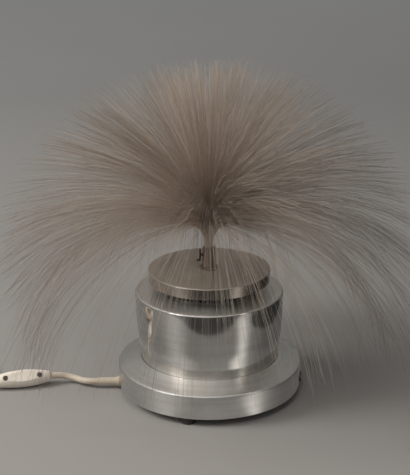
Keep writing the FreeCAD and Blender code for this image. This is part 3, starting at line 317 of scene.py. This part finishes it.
def declare(tree, side, *sockets):
    """Gives a node group its inputs or outputs, each a name, a kind and, where it has one, a value."""
    for name, kind, *value in sockets:
        socket = tree.interface.new_socket(name, in_out=side, socket_type="NodeSocket" + kind)
        if value:
            socket.default_value = value[0]


def group_inputs(tree):
    """The inputs of a node group by name."""
    return {socket.name: Field(socket) for socket in add_node(tree, "NodeGroupInput").outputs}


def turned_marks_group():
    """Rings left by the spinning tool, as a height, a gloss and a tone that follow the profile."""
    tree = bpy.data.node_groups.new("turned_marks", "ShaderNodeTree")
    declare(tree, "INPUT", ("Vector", "Vector"), ("Pitch", "Float", 2600.0), ("Smooth", "Float", 0.15),
            ("Rough", "Float", 0.3))
    declare(tree, "OUTPUT", ("Height", "Float"), ("Roughness", "Float"), ("Tone", "Color"))
    given = group_inputs(tree)
    place = given["Vector"]
    x, y, z = split(place)
    along = (z - from_axis(place)) * given["Pitch"]
    around = vectors("SCALE", combined(x, y, 0.0), 12.0)
    ring_place = vectors("ADD", combined(0.0, 0.0, along), around)
    fine = noise(ring_place, 1.0, 3.0, 0.7)
    broad = noise(vectors("MULTIPLY", ring_place, (1.0, 1.0, 0.09)), 1.0, 2.0)
    smudge = noise(place, 38.0, 6.0, 0.62)
    gloss = ranged(blended(0.6, fine, smudge), 0.35, 0.65, given["Smooth"], given["Rough"])
    tones = ((0.32, (0.66, 0.63, 0.585)), (0.6, (0.80, 0.775, 0.735)))
    tone = colour_ramp(blended(0.5, broad, smudge), tones)
    add_node(tree, "NodeGroupOutput", {"Height": fine + broad, "Roughness": gloss, "Tone": tone})
    return tree


turned_marks = turned_marks_group()


def spun_aluminium(name, smooth, rough, bump, coarse_from=1.0, painted_reflection_tint=(1.0, 1.0, 1.0)):
    """Spun metal; above a level it is left coarser, as the shoulder of the drum is. Its colour is multiplied
    by a tint, which is a painted reflection wherever it is not white.
    """
    material, tree, shader, place = new_material(name)
    sockets = {"Vector": place, "Smooth": smooth, "Rough": rough}
    marks = add_node(tree, "ShaderNodeGroup", sockets, node_tree=turned_marks).outputs
    coarser = ranged(split(place)[2], coarse_from - 0.001, coarse_from, 0.0, 0.30)
    relief = {"Strength": bump, "Distance": 0.00005, "Height": Field(marks["Height"])}
    fill(shader, {
        "Base Color": vectors("MULTIPLY", Field(marks["Tone"]), painted_reflection_tint),
        "Roughness": Field(marks["Roughness"]) + coarser,
        "Metallic": 1.0 - coarser * 0.5,
        "Normal": field(tree, "ShaderNodeBump", "Normal", relief),
        "Tangent": field(tree, "ShaderNodeTangent", "Tangent", direction_type="RADIAL", axis="Z"),
        "Anisotropic": 0.6,
        "Anisotropic Rotation": 0.25})
    return material


def softened(outline):
    """The outline with its bends rounded: a corner with a third number is eased over that length."""
    points = []
    bend_steps = 6
    for number, (radius, level, *bend) in enumerate(outline):
        corner = Vector((radius, level))
        if not bend:
            points.append(corner)
            continue
        before = Vector(outline[number - 1][:2]) - corner
        after = Vector(outline[(number + 1) % len(outline)][:2]) - corner
        start = corner + before.normalized() * min(bend[0], before.length * 0.45)
        end = corner + after.normalized() * min(bend[0], after.length * 0.45)
        for step in range(bend_steps + 1):
            part = step / bend_steps
            points.append(start * (1 - part) ** 2 + corner * 2 * part * (1 - part) + end * part ** 2)
    return points


def turned_rings(name, profiles, steps):
    """Closed profiles of radius and level, in millimetres, turned about the lamp's axis into one mesh."""
    vertices = []
    faces = []
    for profile in profiles:
        size = len(profile)
        first = len(vertices)
        for step in range(steps):
            angle = math.tau * step / steps
            vertices += [(radius / 1000 * math.cos(angle), radius / 1000 * math.sin(angle), level / 1000)
                         for radius, level in profile]
            here = first + step * size
            there = first + (step + 1) % steps * size
            faces += [(here + k, there + k, there + (k + 1) % size, here + (k + 1) % size)
                      for k in range(size)]
    return mesh_object(name, vertices, faces)


spun_steps = 192


def spin_piece(name, outline, material, stands_for, body):
    """One spinning: its outline with the bends rounded, turned, and put in its CAD node's place."""
    thing = turned_rings(name, [[tuple(point) for point in softened(outline)]], spun_steps)
    thing.data.set_sharp_from_angle(angle=math.radians(50))
    thing.data.materials.append(material)
    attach(thing, body)
    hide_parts(*stands_for)


sheet = 1.2
lip_radius = 70.0
rim_radius, rim_level = 88.6, 7.5
flange_radius, flange_level = 90.0, 31.9
step_radius, step_level = 67.2, 39.1
shelf_radius, shelf_level = 58.0, 37.0
flange_drop = 0.38
spin_piece("base_ring_spun", [
    (lip_radius, rim_level),
    (rim_radius, rim_level, 1.0),
    (flange_radius, flange_level, 2.2),
    (step_radius, step_level, 1.2),
    (step_radius, shelf_level),
    (shelf_radius, shelf_level),
    (shelf_radius, shelf_level - sheet),
    (step_radius + sheet, shelf_level - sheet),
    (step_radius + sheet, step_level - flange_drop - sheet),
    (flange_radius - sheet, flange_level + flange_drop - sheet),
    (rim_radius - sheet, rim_level + sheet),
    (lip_radius, rim_level + sheet)],
    spun_aluminium("spun_aluminium_ring", smooth=0.30, rough=0.44, bump=0.3),
    ["base_ring"], "base")

# Base plate, feet and screws: a disc of zinc-plated steel closes the ring from below, on three
# moulded rubber feet, held by pan-head screws; a rubber blank fills the spare hole in the rim.


def surface_group():
    """Colour and roughness that wander over a surface: broad patches, fine grain and dull spots."""
    tree = bpy.data.node_groups.new("used_surface", "ShaderNodeTree")
    declare(tree, "INPUT", ("Vector", "Vector"), ("Clean", "Color"), ("Worn", "Color"),
            ("Patch Scale", "Float", 40.0), ("Grain Scale", "Float", 900.0), ("Wear", "Float", 0.5),
            ("Smooth", "Float", 0.3), ("Rough", "Float", 0.5))
    declare(tree, "OUTPUT", ("Colour", "Color"), ("Roughness", "Float"), ("Height", "Float"))
    given = group_inputs(tree)
    patches = noise(given["Vector"], given["Patch Scale"], 5.0, 0.6)
    grain = noise(given["Vector"], given["Grain Scale"], 2.0)
    worn = maths("ADD", ranged(patches, 0.35, 0.7) * given["Wear"], grain * 0.18, clamp=True)
    add_node(tree, "NodeGroupOutput", {
        "Colour": blended(worn, given["Clean"], given["Worn"], "RGBA"),
        "Roughness": ranged(patches, 0.3, 0.7, given["Smooth"], given["Rough"]),
        "Height": grain})
    return tree


used_surface = surface_group()


def finish(name, clean, worn, smooth, rough, patch=40.0, grain=900.0, wear=0.5, **shader_values):
    """A finish whose colour, gloss and grain come from the used surface; the rest is on the shader."""
    material, tree, shader, place = new_material(name)
    surface = add_node(tree, "ShaderNodeGroup", {
        "Vector": place, "Clean": (*clean, 1.0), "Worn": (*worn, 1.0), "Patch Scale": patch,
        "Grain Scale": grain, "Wear": wear, "Smooth": smooth, "Rough": rough}, node_tree=used_surface).outputs
    relief = {"Strength": 0.1, "Distance": 0.0002, "Height": Field(surface["Height"])}
    fill(shader, {
        "Base Color": Field(surface["Colour"]),
        "Roughness": Field(surface["Roughness"]),
        "Normal": field(tree, "ShaderNodeBump", "Normal", relief),
        **{key.replace("_", " "): value for key, value in shader_values.items()}})
    return material


def dress(material, *names):
    """Puts a finish on CAD pieces in place of the plain one they came with."""
    for name in names:
        for slot in nodes[name].material_slots:
            slot.material = material


zinc = finish("zinc_plate", (0.62, 0.62, 0.60), (0.42, 0.42, 0.40), 0.28, 0.45, patch=55.0, Metallic=1.0)
zinc_bright = finish("zinc_screws", (0.66, 0.65, 0.62), (0.46, 0.45, 0.42), 0.22, 0.4, patch=220.0,
                     Metallic=1.0)
rubber = finish("black_rubber", (0.024, 0.023, 0.022), (0.055, 0.052, 0.048), 0.55, 0.75)
dress(zinc, "base_plate")
dress(zinc_bright, "foot_screws", "foot_nuts", "drum_screws", "drum_nuts", "chassis_screws", "chassis_nuts")
dress(rubber, "feet", "blanking_grommet")

# Terminal block and cord clamp: moulded natural nylon with screws in it, under the drum; the leads
# from it to the lamp holder and the motor are thin and covered in pale or blue plastic.
nylon = finish("natural_nylon", (0.78, 0.75, 0.68), (0.66, 0.62, 0.54), 0.35, 0.5, patch=120.0,
               Subsurface_Weight=0.1)
dress(nylon, "cord_clamp", "terminal_block")
dress(zinc_bright, "terminal_screws")
dress(finish("core_insulation", (0.05, 0.12, 0.42), (0.04, 0.09, 0.30), 0.35, 0.5), "mains_cores")
dress(finish("lead_insulation", (0.60, 0.58, 0.54), (0.45, 0.42, 0.38), 0.4, 0.55), "inner_leads")

# Lamp holder: a glazed porcelain body on a bent steel bridge, held by a threaded nipple and a nut,
# with a brass screw sleeve and a brass contact inside.
porcelain = finish("glazed_porcelain", (0.80, 0.78, 0.73), (0.70, 0.67, 0.61), 0.12, 0.25, patch=90.0,
                   Coat_Weight=0.4)
brass = finish("yellow_brass", (0.72, 0.50, 0.22), (0.50, 0.34, 0.15), 0.2, 0.4, patch=160.0, Metallic=1.0)
dress(zinc, "holder_bracket")
dress(porcelain, "lamp_holder")
dress(brass, "holder_nipple", "threaded_sleeve", "centre_contact")
dress(zinc_bright, "nipple_nut")

# Bulb: a pear of pearl glass cemented into a cap of nickel-plated brass, whose thread screws into
# the sleeve of the holder.
nickel = finish("nickel_plate", (0.70, 0.67, 0.61), (0.52, 0.49, 0.43), 0.15, 0.32, patch=140.0, Metallic=1.0)
pearl_glass = finish("pearl_glass", (0.90, 0.90, 0.88), (0.82, 0.82, 0.79), 0.28, 0.42, patch=60.0, wear=0.3,
                     Transmission_Weight=0.55, IOR=1.45)
dress(nickel, "bulb_cap")
dress(pearl_glass, "bulb_glass")

# Motor: a flat zinc-plated can with a taped coil and a ferrite rotor in it, a brass plate for the
# gears and two stages of nylon and brass gears; it hangs under the wheel on a bent bracket.
coil_wrap = finish("coil_wrap", (0.50, 0.38, 0.16), (0.36, 0.26, 0.10), 0.4, 0.6, patch=200.0)
ferrite = finish("ferrite", (0.06, 0.058, 0.055), (0.09, 0.085, 0.08), 0.45, 0.6, patch=200.0)
dress(zinc, "motor_bracket", "motor_can", "motor_cover")
dress(brass, "gear_plate", "output_gear")
dress(zinc_bright, "motor_screws", "gear_pins", "output_shaft")
dress(coil_wrap, "motor_coil")
dress(ferrite, "rotor_magnet")
dress(nylon, "cluster_gear", "rotor_pinion")

# Colour wheel: a frame of zinc-plated sheet on a black moulded hub, with a clear tinted film in each
# quarter: red, amber, green and blue.
shaft_place = (0.0293, 0.0, 0.0)
film_tints = ((0.0, (0.72, 0.05, 0.05)), (0.25, (0.85, 0.50, 0.05)), (0.5, (0.06, 0.45, 0.12)),
              (0.75, (0.04, 0.12, 0.60)))
tinted_film, tree, shader, place = new_material("tinted_film")
x, y, z = split(vectors("SUBTRACT", place, shaft_place))
quarter = ranged(maths("ARCTAN2", y, x), -math.pi, math.pi)
fill(shader, {"Base Color": colour_ramp(quarter, film_tints, "CONSTANT"), "Alpha": 0.75,
              "Roughness": ranged(noise(place, 260.0, 4.0), 0.0, 1.0, 0.08, 0.3)})
dress(finish("hub_plastic", (0.03, 0.03, 0.03), (0.06, 0.058, 0.055), 0.35, 0.5, patch=90.0), "wheel_hub")
dress(zinc, "wheel_frame")
dress(tinted_film, "colour_films")

# Drum: a slightly bulged cup spun from aluminium, standing upside down on the ring's shelf; its
# shoulder turns in to a wide opening that the lid's collar plugs into.


def arc_side(start, end, bow, count=12):
    """Points between two corners on an arc that bows to the right of the way by so much."""
    a, b = Vector(start), Vector(end)
    across = Vector(((b - a).y, -(b - a).x)).normalized()
    return [tuple(a + (b - a) * k / count + across * bow * 4 * (k / count) * (1 - k / count))
            for k in range(1, count)]


drum_bulge = 1.2
foot_radius, shoulder_radius, mouth_radius = 66.9, 71.9, 45.4
drum_top = 105.5
drum_foot, drum_shoulder = (foot_radius, shelf_level), (shoulder_radius, drum_top)
inner_shoulder = (shoulder_radius - sheet, drum_top - sheet)
inner_foot = (foot_radius - sheet, shelf_level + sheet)
spin_piece("drum_spun", [
    (shelf_radius, shelf_level),
    (*drum_foot, 0.5),
    *arc_side(drum_foot, drum_shoulder, drum_bulge),
    (*drum_shoulder, 2.4),
    (mouth_radius, drum_top),
    (mouth_radius, drum_top - sheet),
    inner_shoulder,
    *arc_side(inner_shoulder, inner_foot, -drum_bulge),
    inner_foot,
    (shelf_radius, shelf_level + sheet)],
    spun_aluminium("spun_aluminium_drum", smooth=0.06, rough=0.11, bump=0.06, coarse_from=0.1052),
    ["drum"], "base")

# Lid: a cap spun from the same sheet with a turned-down rim, left coarser on its top; it lifts off
# together with the collar, the socket and the fibres.
lid_radius, lid_rim_radius = 59.2, 58.8
lid_top, lid_rim_level = 127.0, 116.1
socket_bore = 6.8
# Painted reflection: the lid's metal is darkened and browned as if it reflected the brown fibres over it.
spin_piece("lid_spun", [
    (socket_bore, lid_top - sheet),
    (lid_radius - sheet, lid_top - sheet),
    (lid_rim_radius - sheet, lid_rim_level),
    (lid_rim_radius, lid_rim_level),
    (lid_radius, lid_top, 1.6),
    (socket_bore, lid_top)],
    spun_aluminium("spun_aluminium_lid", smooth=0.17, rough=0.25, bump=0.15, coarse_from=0.1269,
                   painted_reflection_tint=(0.79, 0.725, 0.66)),
    ["lid"], "lid_unit")

# Vent collar: a ring of sheet under the lid with seventy-two slots, the way out for warm air; its sheet is
# coloured dark as painted shade for the recess under the lid.
# Its foot and its cap are turned rings, and the strips left between the slots join them.
# Painted shade: the collar's sheet is dark for the shade that falls under the lid.
vent_metal_painted_shade = finish("vent_sheet_painted_shade", (0.13, 0.122, 0.115), (0.055, 0.050, 0.047), 0.35, 0.55, wear=0.7,
                    Metallic=0.7)


def close_tree(tree, geometry, material):
    """Ends a tree of geometry: what it holds is made real and takes its material."""
    whole = field(tree, "GeometryNodeRealizeInstances", 0, {"Geometry": geometry})
    painted = field(tree, "GeometryNodeSetMaterial", 0, {"Geometry": whole, "Material": material})
    add_node(tree, "NodeGroupOutput", {"Geometry": painted})


def grown(name, tree, values, holder=None):
    """Runs a node tree on a mesh, or on nothing, and keeps the result as a plain mesh object."""
    if holder is None:
        holder = bpy.data.objects.new(name + "_maker", bpy.data.meshes.new(name + "_maker"))
        scene.collection.objects.link(holder)
    modifier = holder.modifiers.new("grow", "NODES")
    modifier.node_group = tree
    for item in tree.interface.items_tree:
        if item.item_type == "SOCKET" and item.in_out == "INPUT" and item.name in values:
            modifier[item.identifier] = values[item.name]
    ready = holder.evaluated_get(bpy.context.evaluated_depsgraph_get())
    mesh = bpy.data.meshes.new_from_object(ready)
    mesh.name = name
    bpy.data.objects.remove(holder)
    thing = bpy.data.objects.new(name, mesh)
    scene.collection.objects.link(thing)
    return thing


def vent_tree():
    """Sets one upright strip on each of the points of a ring and joins them to the turned rings."""
    tree = bpy.data.node_groups.new("vent_slots", "GeometryNodeTree")
    declare(tree, "INPUT", ("Geometry", "Geometry"))
    declare(tree, "OUTPUT", ("Geometry", "Geometry"))
    declare(tree, "INPUT", ("Slots", "Int", 72), ("Ring Radius", "Float"), ("Wall", "Float"),
            ("Strip Width", "Float"), ("Strip Height", "Float"), ("Strip Middle", "Float"),
            ("Material", "Material"))
    given = group_inputs(tree)
    spots = field(tree, "GeometryNodePoints", 0, {"Count": given["Slots"]})
    size = combined(given["Wall"], given["Strip Width"], given["Strip Height"])
    strip = field(tree, "GeometryNodeMeshCube", "Mesh", {"Size": size})
    stand = combined(given["Ring Radius"], 0.0, given["Strip Middle"])
    strip = field(tree, "GeometryNodeTransform", 0, {"Geometry": strip, "Translation": stand})
    turn = (field(tree, "GeometryNodeInputIndex", 0) + 0.5) * math.tau / given["Slots"]
    ring = field(tree, "GeometryNodeInstanceOnPoints", 0, {
        "Points": spots, "Instance": strip, "Rotation": combined(0.0, 0.0, turn)})
    joined = add_node(tree, "GeometryNodeJoinGeometry")
    for piece in (ring, given["Geometry"]):
        tree.links.new(piece.socket, joined.inputs[0])
    close_tree(tree, Field(joined.outputs[0]), given["Material"])
    return tree


collar_radius = 47.0
plug_radius, plug_bottom = 45.1, 101.5
slot_bottom, slot_top = 108.9, 120.9
strip_width = 1.9
strip_sunk = 0.2
collar_steps = 144
cap_top = lid_top - sheet
collar_cap = [
    (socket_bore, cap_top - sheet), (collar_radius - sheet, cap_top - sheet),
    (collar_radius - sheet, slot_top), (collar_radius, slot_top), (collar_radius, cap_top),
    (socket_bore, cap_top)]
collar_foot = [
    (plug_radius - sheet, plug_bottom), (plug_radius, plug_bottom), (plug_radius, drum_top),
    (collar_radius, drum_top), (collar_radius, slot_bottom), (collar_radius - sheet, slot_bottom),
    (collar_radius - sheet, drum_top + sheet), (plug_radius - sheet, drum_top + sheet)]
collar = grown("vent_collar_slotted", vent_tree(), {
    "Slots": 72, "Ring Radius": (collar_radius - sheet / 2) / 1000, "Wall": sheet / 1000,
    "Strip Width": strip_width / 1000, "Strip Height": (slot_top - slot_bottom + 2 * strip_sunk) / 1000,
    "Strip Middle": (slot_top + slot_bottom) / 2000, "Material": vent_metal_painted_shade},
    turned_rings("vent_collar_rings", [collar_cap, collar_foot], collar_steps))
collar.data.set_sharp_from_angle(angle=math.radians(40))
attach(collar, "lid_unit")
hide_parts("vent_collar")

# Socket: a slim tube of brown moulding with a thin flange on the lid; its tail goes through the lid
# and takes a nut. A blued hand screw with a bent tongue bears on the ferrule of the fibres.
brown_plastic = finish("brown_plastic", (0.125, 0.088, 0.066), (0.20, 0.15, 0.115), 0.32, 0.5, patch=120.0,
                       wear=0.6)
blued_steel = finish("blued_steel", (0.035, 0.030, 0.028), (0.09, 0.07, 0.055), 0.3, 0.5, patch=300.0,
                     Metallic=0.9)
dress(brown_plastic, "bundle_socket", "socket_nut", "bundle_ferrule")
dress(blued_steel, "socket_screw")

# Fibre spray: some thousands of clear fibres, yellowed a little, held in the ferrule. They fan out
# over a hand's breadth and droop in two hundred loose tufts; three layers share them. A tuft's number
# sets its share, from nought in the middle of the bundle to one at the outside, and its way round.
fan_steps = 6
fall_steps = 6
golden_turn = 2.39996
half_golden_turn = math.radians(68.75388)


def fibre_tree():
    """Grows the fibres as curves from step to step and gives them a thin three-sided section."""
    tree = bpy.data.node_groups.new("fibre_spray", "GeometryNodeTree")
    declare(tree, "OUTPUT", ("Geometry", "Geometry"))
    declare(tree, "INPUT", ("Fibres", "Int", 2400), ("Tufts", "Int", 200), ("Lock Size", "Int", 4),
            ("Seed", "Int", 3), ("Foot", "Float", 0.098), ("Column Top", "Float", 0.159),
            ("Bundle Radius", "Float", 0.0042), ("Fan Length", "Float", 0.034),
            ("Fibre Radius", "Float", 0.000085), ("Material", "Material"))
    given = group_inputs(tree)
    seeds = field(tree, "GeometryNodePoints", 0, {"Count": given["Fibres"]})
    line = field(tree, "GeometryNodeCurvePrimitiveLine", "Curve", {"End": (0.0, 0.0, 0.1)})
    line = field(tree, "GeometryNodeResampleCurve", 0, {"Curve": line, "Count": 2 + fan_steps + fall_steps})
    copies = field(tree, "GeometryNodeInstanceOnPoints", 0, {"Points": seeds, "Instance": line})
    strands = field(tree, "GeometryNodeRealizeInstances", 0, {"Geometry": copies})
    where = add_node(tree, "GeometryNodeCurveOfPoint").outputs
    strand = Field(where["Curve Index"])
    step = Field(where["Index in Curve"])
    lock = maths("FLOOR", strand / given["Lock Size"])

    def chance(low, high, which, salt):
        """A random number for each fibre or lock of fibres."""
        sockets = {2: low, 3: high, "ID": which, "Seed": given["Seed"] + salt}
        return field(tree, "FunctionNodeRandomValue", 1, sockets, data_type="FLOAT")

    def bunched(reach, close, salt):
        """A random offset of each lock, mostly near nought, and a small one of each fibre in it."""
        value = chance(-1.0, 1.0, lock, salt)
        return value * maths("ABSOLUTE", value) * reach + chance(-close, close, strand, salt + 10)

    # Which tuft a lock belongs to; two tufts that face each other make a pair with one share.
    tuft = maths("FLOOR", chance(0.0, 0.9999, lock, 1) ** 1.35 * given["Tufts"])
    pair = maths("FLOOR", tuft / 2.0)
    far_side = (tuft - pair * 2.0) * math.pi
    share = maths("SQRT", (pair + 1.0) / (given["Tufts"] / 2.0 + 1.0)) + bunched(0.13, 0.03, 2)
    share = maths("MINIMUM", maths("MAXIMUM", share, 0.03), 1.0)
    way = pair * half_golden_turn + far_side + bunched(0.34, 0.045, 3) / (share + 0.3)

    # The outer locks in front are thinned: up to half of them lie further in.
    facing = maths("MAXIMUM", maths("SINE", way) * -1.0, 0.0)
    in_front = facing * maths("MULTIPLY", share - 0.5, 4.0, clamp=True)
    drawn_in = maths("LESS_THAN", chance(0.0, 1.0, lock, 14), in_front * 0.5)
    share = share * (1.0 - drawn_in * 0.45)

    # How far a fibre strays sideways, leans where its fan ends and leans further as it falls; its length.
    drift = chance(-1.0, 1.0, lock, 4) * 0.006
    droop = maths("SINE", pair * 1.7 + 0.3) + chance(-0.5, 0.5, strand, 5)
    reach = maths("SINE", pair * golden_turn + 0.7) * 0.05
    reach = reach + 1.0 + chance(-0.14, -0.01, strand, 6) - in_front * 0.08
    fan = share ** 1.15 * math.radians(92)
    fall = share * math.radians(58) + share ** 4.0 * math.radians(16)
    fall = fall + share ** 3.0 * math.radians(14) * droop
    free = (share ** 2.0 * 0.082 + 0.138 + share ** 6.0 * 0.020) * reach
    column = given["Column Top"] - share * 0.006 - given["Foot"]

    # Each step's move: up the column first, then along the fan, then along the fall.
    rising = maths("COMPARE", step, 1.0, 0.5)
    falling = maths("GREATER_THAN", step, 1.5 + fan_steps)
    fanning = maths("GREATER_THAN", step, 1.5) - falling
    fan_part = maths("DIVIDE", step - 1.5, float(fan_steps), clamp=True)
    fall_part = maths("DIVIDE", step - (1.5 + fan_steps), float(fall_steps), clamp=True)
    lean = fan * fan_part + fall * fall_part
    length = fanning * (given["Fan Length"] / float(fan_steps)) + falling * (free / float(fall_steps))
    out = length * maths("SINE", lean)
    up = length * maths("COSINE", lean) + column * rising
    turned = way + drift * maths("MAXIMUM", step - 2.0, 0.0)
    move = combined(out * maths("COSINE", turned), out * maths("SINE", turned), up)
    run = field(tree, "GeometryNodeAccumulateField", 0, {"Value": move, "Group ID": strand},
                data_type="FLOAT_VECTOR")
    root_radius = given["Bundle Radius"] * maths("SQRT", share * chance(0.7, 1.0, strand, 7))
    root = combined(root_radius * maths("COSINE", way), root_radius * maths("SINE", way), given["Foot"])
    spot = vectors("ADD", root, run)
    placed = field(tree, "GeometryNodeSetPosition", 0, {"Geometry": strands, "Position": spot})

    shade = chance(0.0, 1.0, lock, 8) * 0.6 + chance(0.0, 1.0, strand, 9) * 0.4
    toned = field(tree, "GeometryNodeStoreNamedAttribute", 0,
                  {"Geometry": placed, "Name": "shade", "Value": shade}, data_type="FLOAT", domain="POINT")
    ring = field(tree, "GeometryNodeCurvePrimitiveCircle", 0, {
        "Resolution": 3, "Radius": given["Fibre Radius"]})
    tubes = field(tree, "GeometryNodeCurveToMesh", 0, {
        "Curve": toned, "Profile Curve": ring, "Fill Caps": False})
    close_tree(tree, tubes, given["Material"])
    return tree


clear_fibre, tree, shader, place = new_material("clear_fibre")
shade = field(tree, "ShaderNodeAttribute", "Fac", attribute_name="shade")
patch = noise(place, 45.0, 3.0)
outward = from_axis(place)
tone = colour_ramp(blended(0.3, shade, patch), ((0.2, (0.235, 0.187, 0.150)), (0.85, (0.54, 0.465, 0.40))))
# Painted light: the fibres are made lighter towards the middle of the spray and near the column, where the
# dense fibres shade each other, and darker towards the outside.
painted_middle_light = ranged(outward, 0.02, 0.2, 1.66, 0.68) * ranged(outward, 0.006, 0.03, 1.12, 1.0)
fill(shader, {"Base Color": vectors("SCALE", tone, painted_middle_light), "Specular IOR Level": 0.6,
              "Roughness": ranged(patch, 0.0, 1.0, 0.25, 0.45)})

fibre_layers = fibre_tree()
for number in range(3):
    values = {"Fibres": 2400, "Seed": 3 + 20 * number, "Material": clear_fibre}
    layer = grown(f"fibres_{number + 1}", fibre_layers, values)
    layer.data.shade_smooth()
    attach(layer, "spray")
    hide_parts("fibre_spray")

# Mains cord: a round cream sheath, grubby from use. It leaves the left of the rim in a tapered
# relief, runs to the in-line switch, and from there to a neat coil and the plug.
cord_radius = 0.0031
table_level = 0.00315
sheath = finish("cream_sheath", (0.70, 0.61, 0.50), (0.47, 0.385, 0.295), 0.38, 0.55, patch=26.0,
                grain=1400.0, wear=0.65, Specular_IOR_Level=0.45)
dress(sheath, "strain_relief", "cord_in_base", "cord_in_switch")


def cord_line(name, route):
    """A round cord whose centreline is one open NURBS spline with the route as its control points."""
    curve = bpy.data.curves.new(name, "CURVE")
    curve.dimensions = "3D"
    curve.bevel_depth = cord_radius
    curve.bevel_resolution = 4
    curve.resolution_u = 8
    curve.use_fill_caps = True
    spline = curve.splines.new("NURBS")
    spline.points.add(len(route) - 1)
    for point, at in zip(spline.points, route):
        point.co = (*at, 1.0)
    spline.order_u = 3
    spline.use_endpoint_u = True
    curve.materials.append(sheath)
    thing = bpy.data.objects.new(name, curve)
    scene.collection.objects.link(thing)
    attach(thing, "base")
    return thing


relief_end = 0.11147
cord_heading = math.radians(179.5)
switch_middle = Vector((-0.1868, 0.0040, 0.00875))
switch_heading = math.radians(193.3)


def off_rim(distance, level=0.007):
    """A place straight out of the rim, so far from the lamp's axis."""
    return (distance * math.cos(cord_heading), distance * math.sin(cord_heading), level)


def off_switch(distance):
    """A place in line with the switch, so far from its middle."""
    return (switch_middle.x + distance * math.cos(switch_heading),
            switch_middle.y + distance * math.sin(switch_heading), switch_middle.z)


near_cord = cord_line("cord_to_switch", [
    off_rim(relief_end), off_rim(relief_end + 0.0085), (-0.1275, 0.0050, 0.0062), (-0.1343, 0.0110, 0.0059),
    (-0.1430, 0.0138, 0.0068), off_switch(-0.0365), off_switch(-0.027)])

coil_middle = Vector((-0.268, 0.022))
coil_radii = [0.0402, 0.0340, 0.0278, 0.0278, 0.0340, 0.0402]
coil_start = 290
coil_turns = 6.11
points_per_turn = 16
cross_over_part = 0.16
second_layer_from, climb = 2.84, 0.2
inside_its_points = 0.981


def on_coil(radius, degrees, level):
    """A place on the coil, by its heading from the coil's middle."""
    angle = math.radians(degrees)
    return (coil_middle.x + radius * math.cos(angle), coil_middle.y + radius * math.sin(angle), level)


coil_points = []
for step in range(1, round(coil_turns * points_per_turn)):
    turns = step / points_per_turn
    ring = min(int(turns), 5)
    following = coil_radii[min(ring + 1, 5)]
    part = max(0.0, (turns - ring - 1 + cross_over_part) / cross_over_part)
    radius = coil_radii[ring] + (following - coil_radii[ring]) * part
    raised = max(0.0, min(1.0, (turns - second_layer_from) / climb))
    coil_points.append(on_coil(radius / inside_its_points, coil_start - 360 * turns,
                               table_level + 2 * cord_radius * raised))
far_cord = cord_line("cord_to_plug", [
    off_switch(0.027), off_switch(0.036), (-0.232, -0.0074, 0.0042), (-0.243, -0.0118, table_level),
    on_coil(0.0402, coil_start, table_level), *coil_points, on_coil(0.0402, 250, 0.0093),
    on_coil(0.0434, 231, 0.0088), on_coil(0.0492, 214, 0.0076), (-0.3164, 0.0025, 0.0071),
    (-0.3220, 0.0145, 0.00685), (-0.3220, 0.0260, 0.00685)])

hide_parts("mains_cord")
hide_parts("cord_to_coil", "cord_coil", "plug_cord")

# In-line switch: two halves of moulded cream plastic held by two screws, with a rocker set in one
# edge and brass clamps for the cores inside.
cream = finish("cream_plastic", (0.92, 0.845, 0.74), (0.63, 0.54, 0.45), 0.3, 0.45, patch=60.0, wear=0.4)
old_screws = finish("tarnished_screws", (0.15, 0.135, 0.12), (0.07, 0.06, 0.055), 0.35, 0.55, patch=400.0,
                    Metallic=0.8)
dress(cream, "switch_cover", "switch_base", "switch_rocker")
dress(old_screws, "switch_screws")
dress(brass, "switch_terminals")

# Plug: a body of the same cream plastic moulded round the end of the cord, with two round
# nickel-plated pins.
dress(cream, "plug_body")
dress(nickel, "plug_pins")
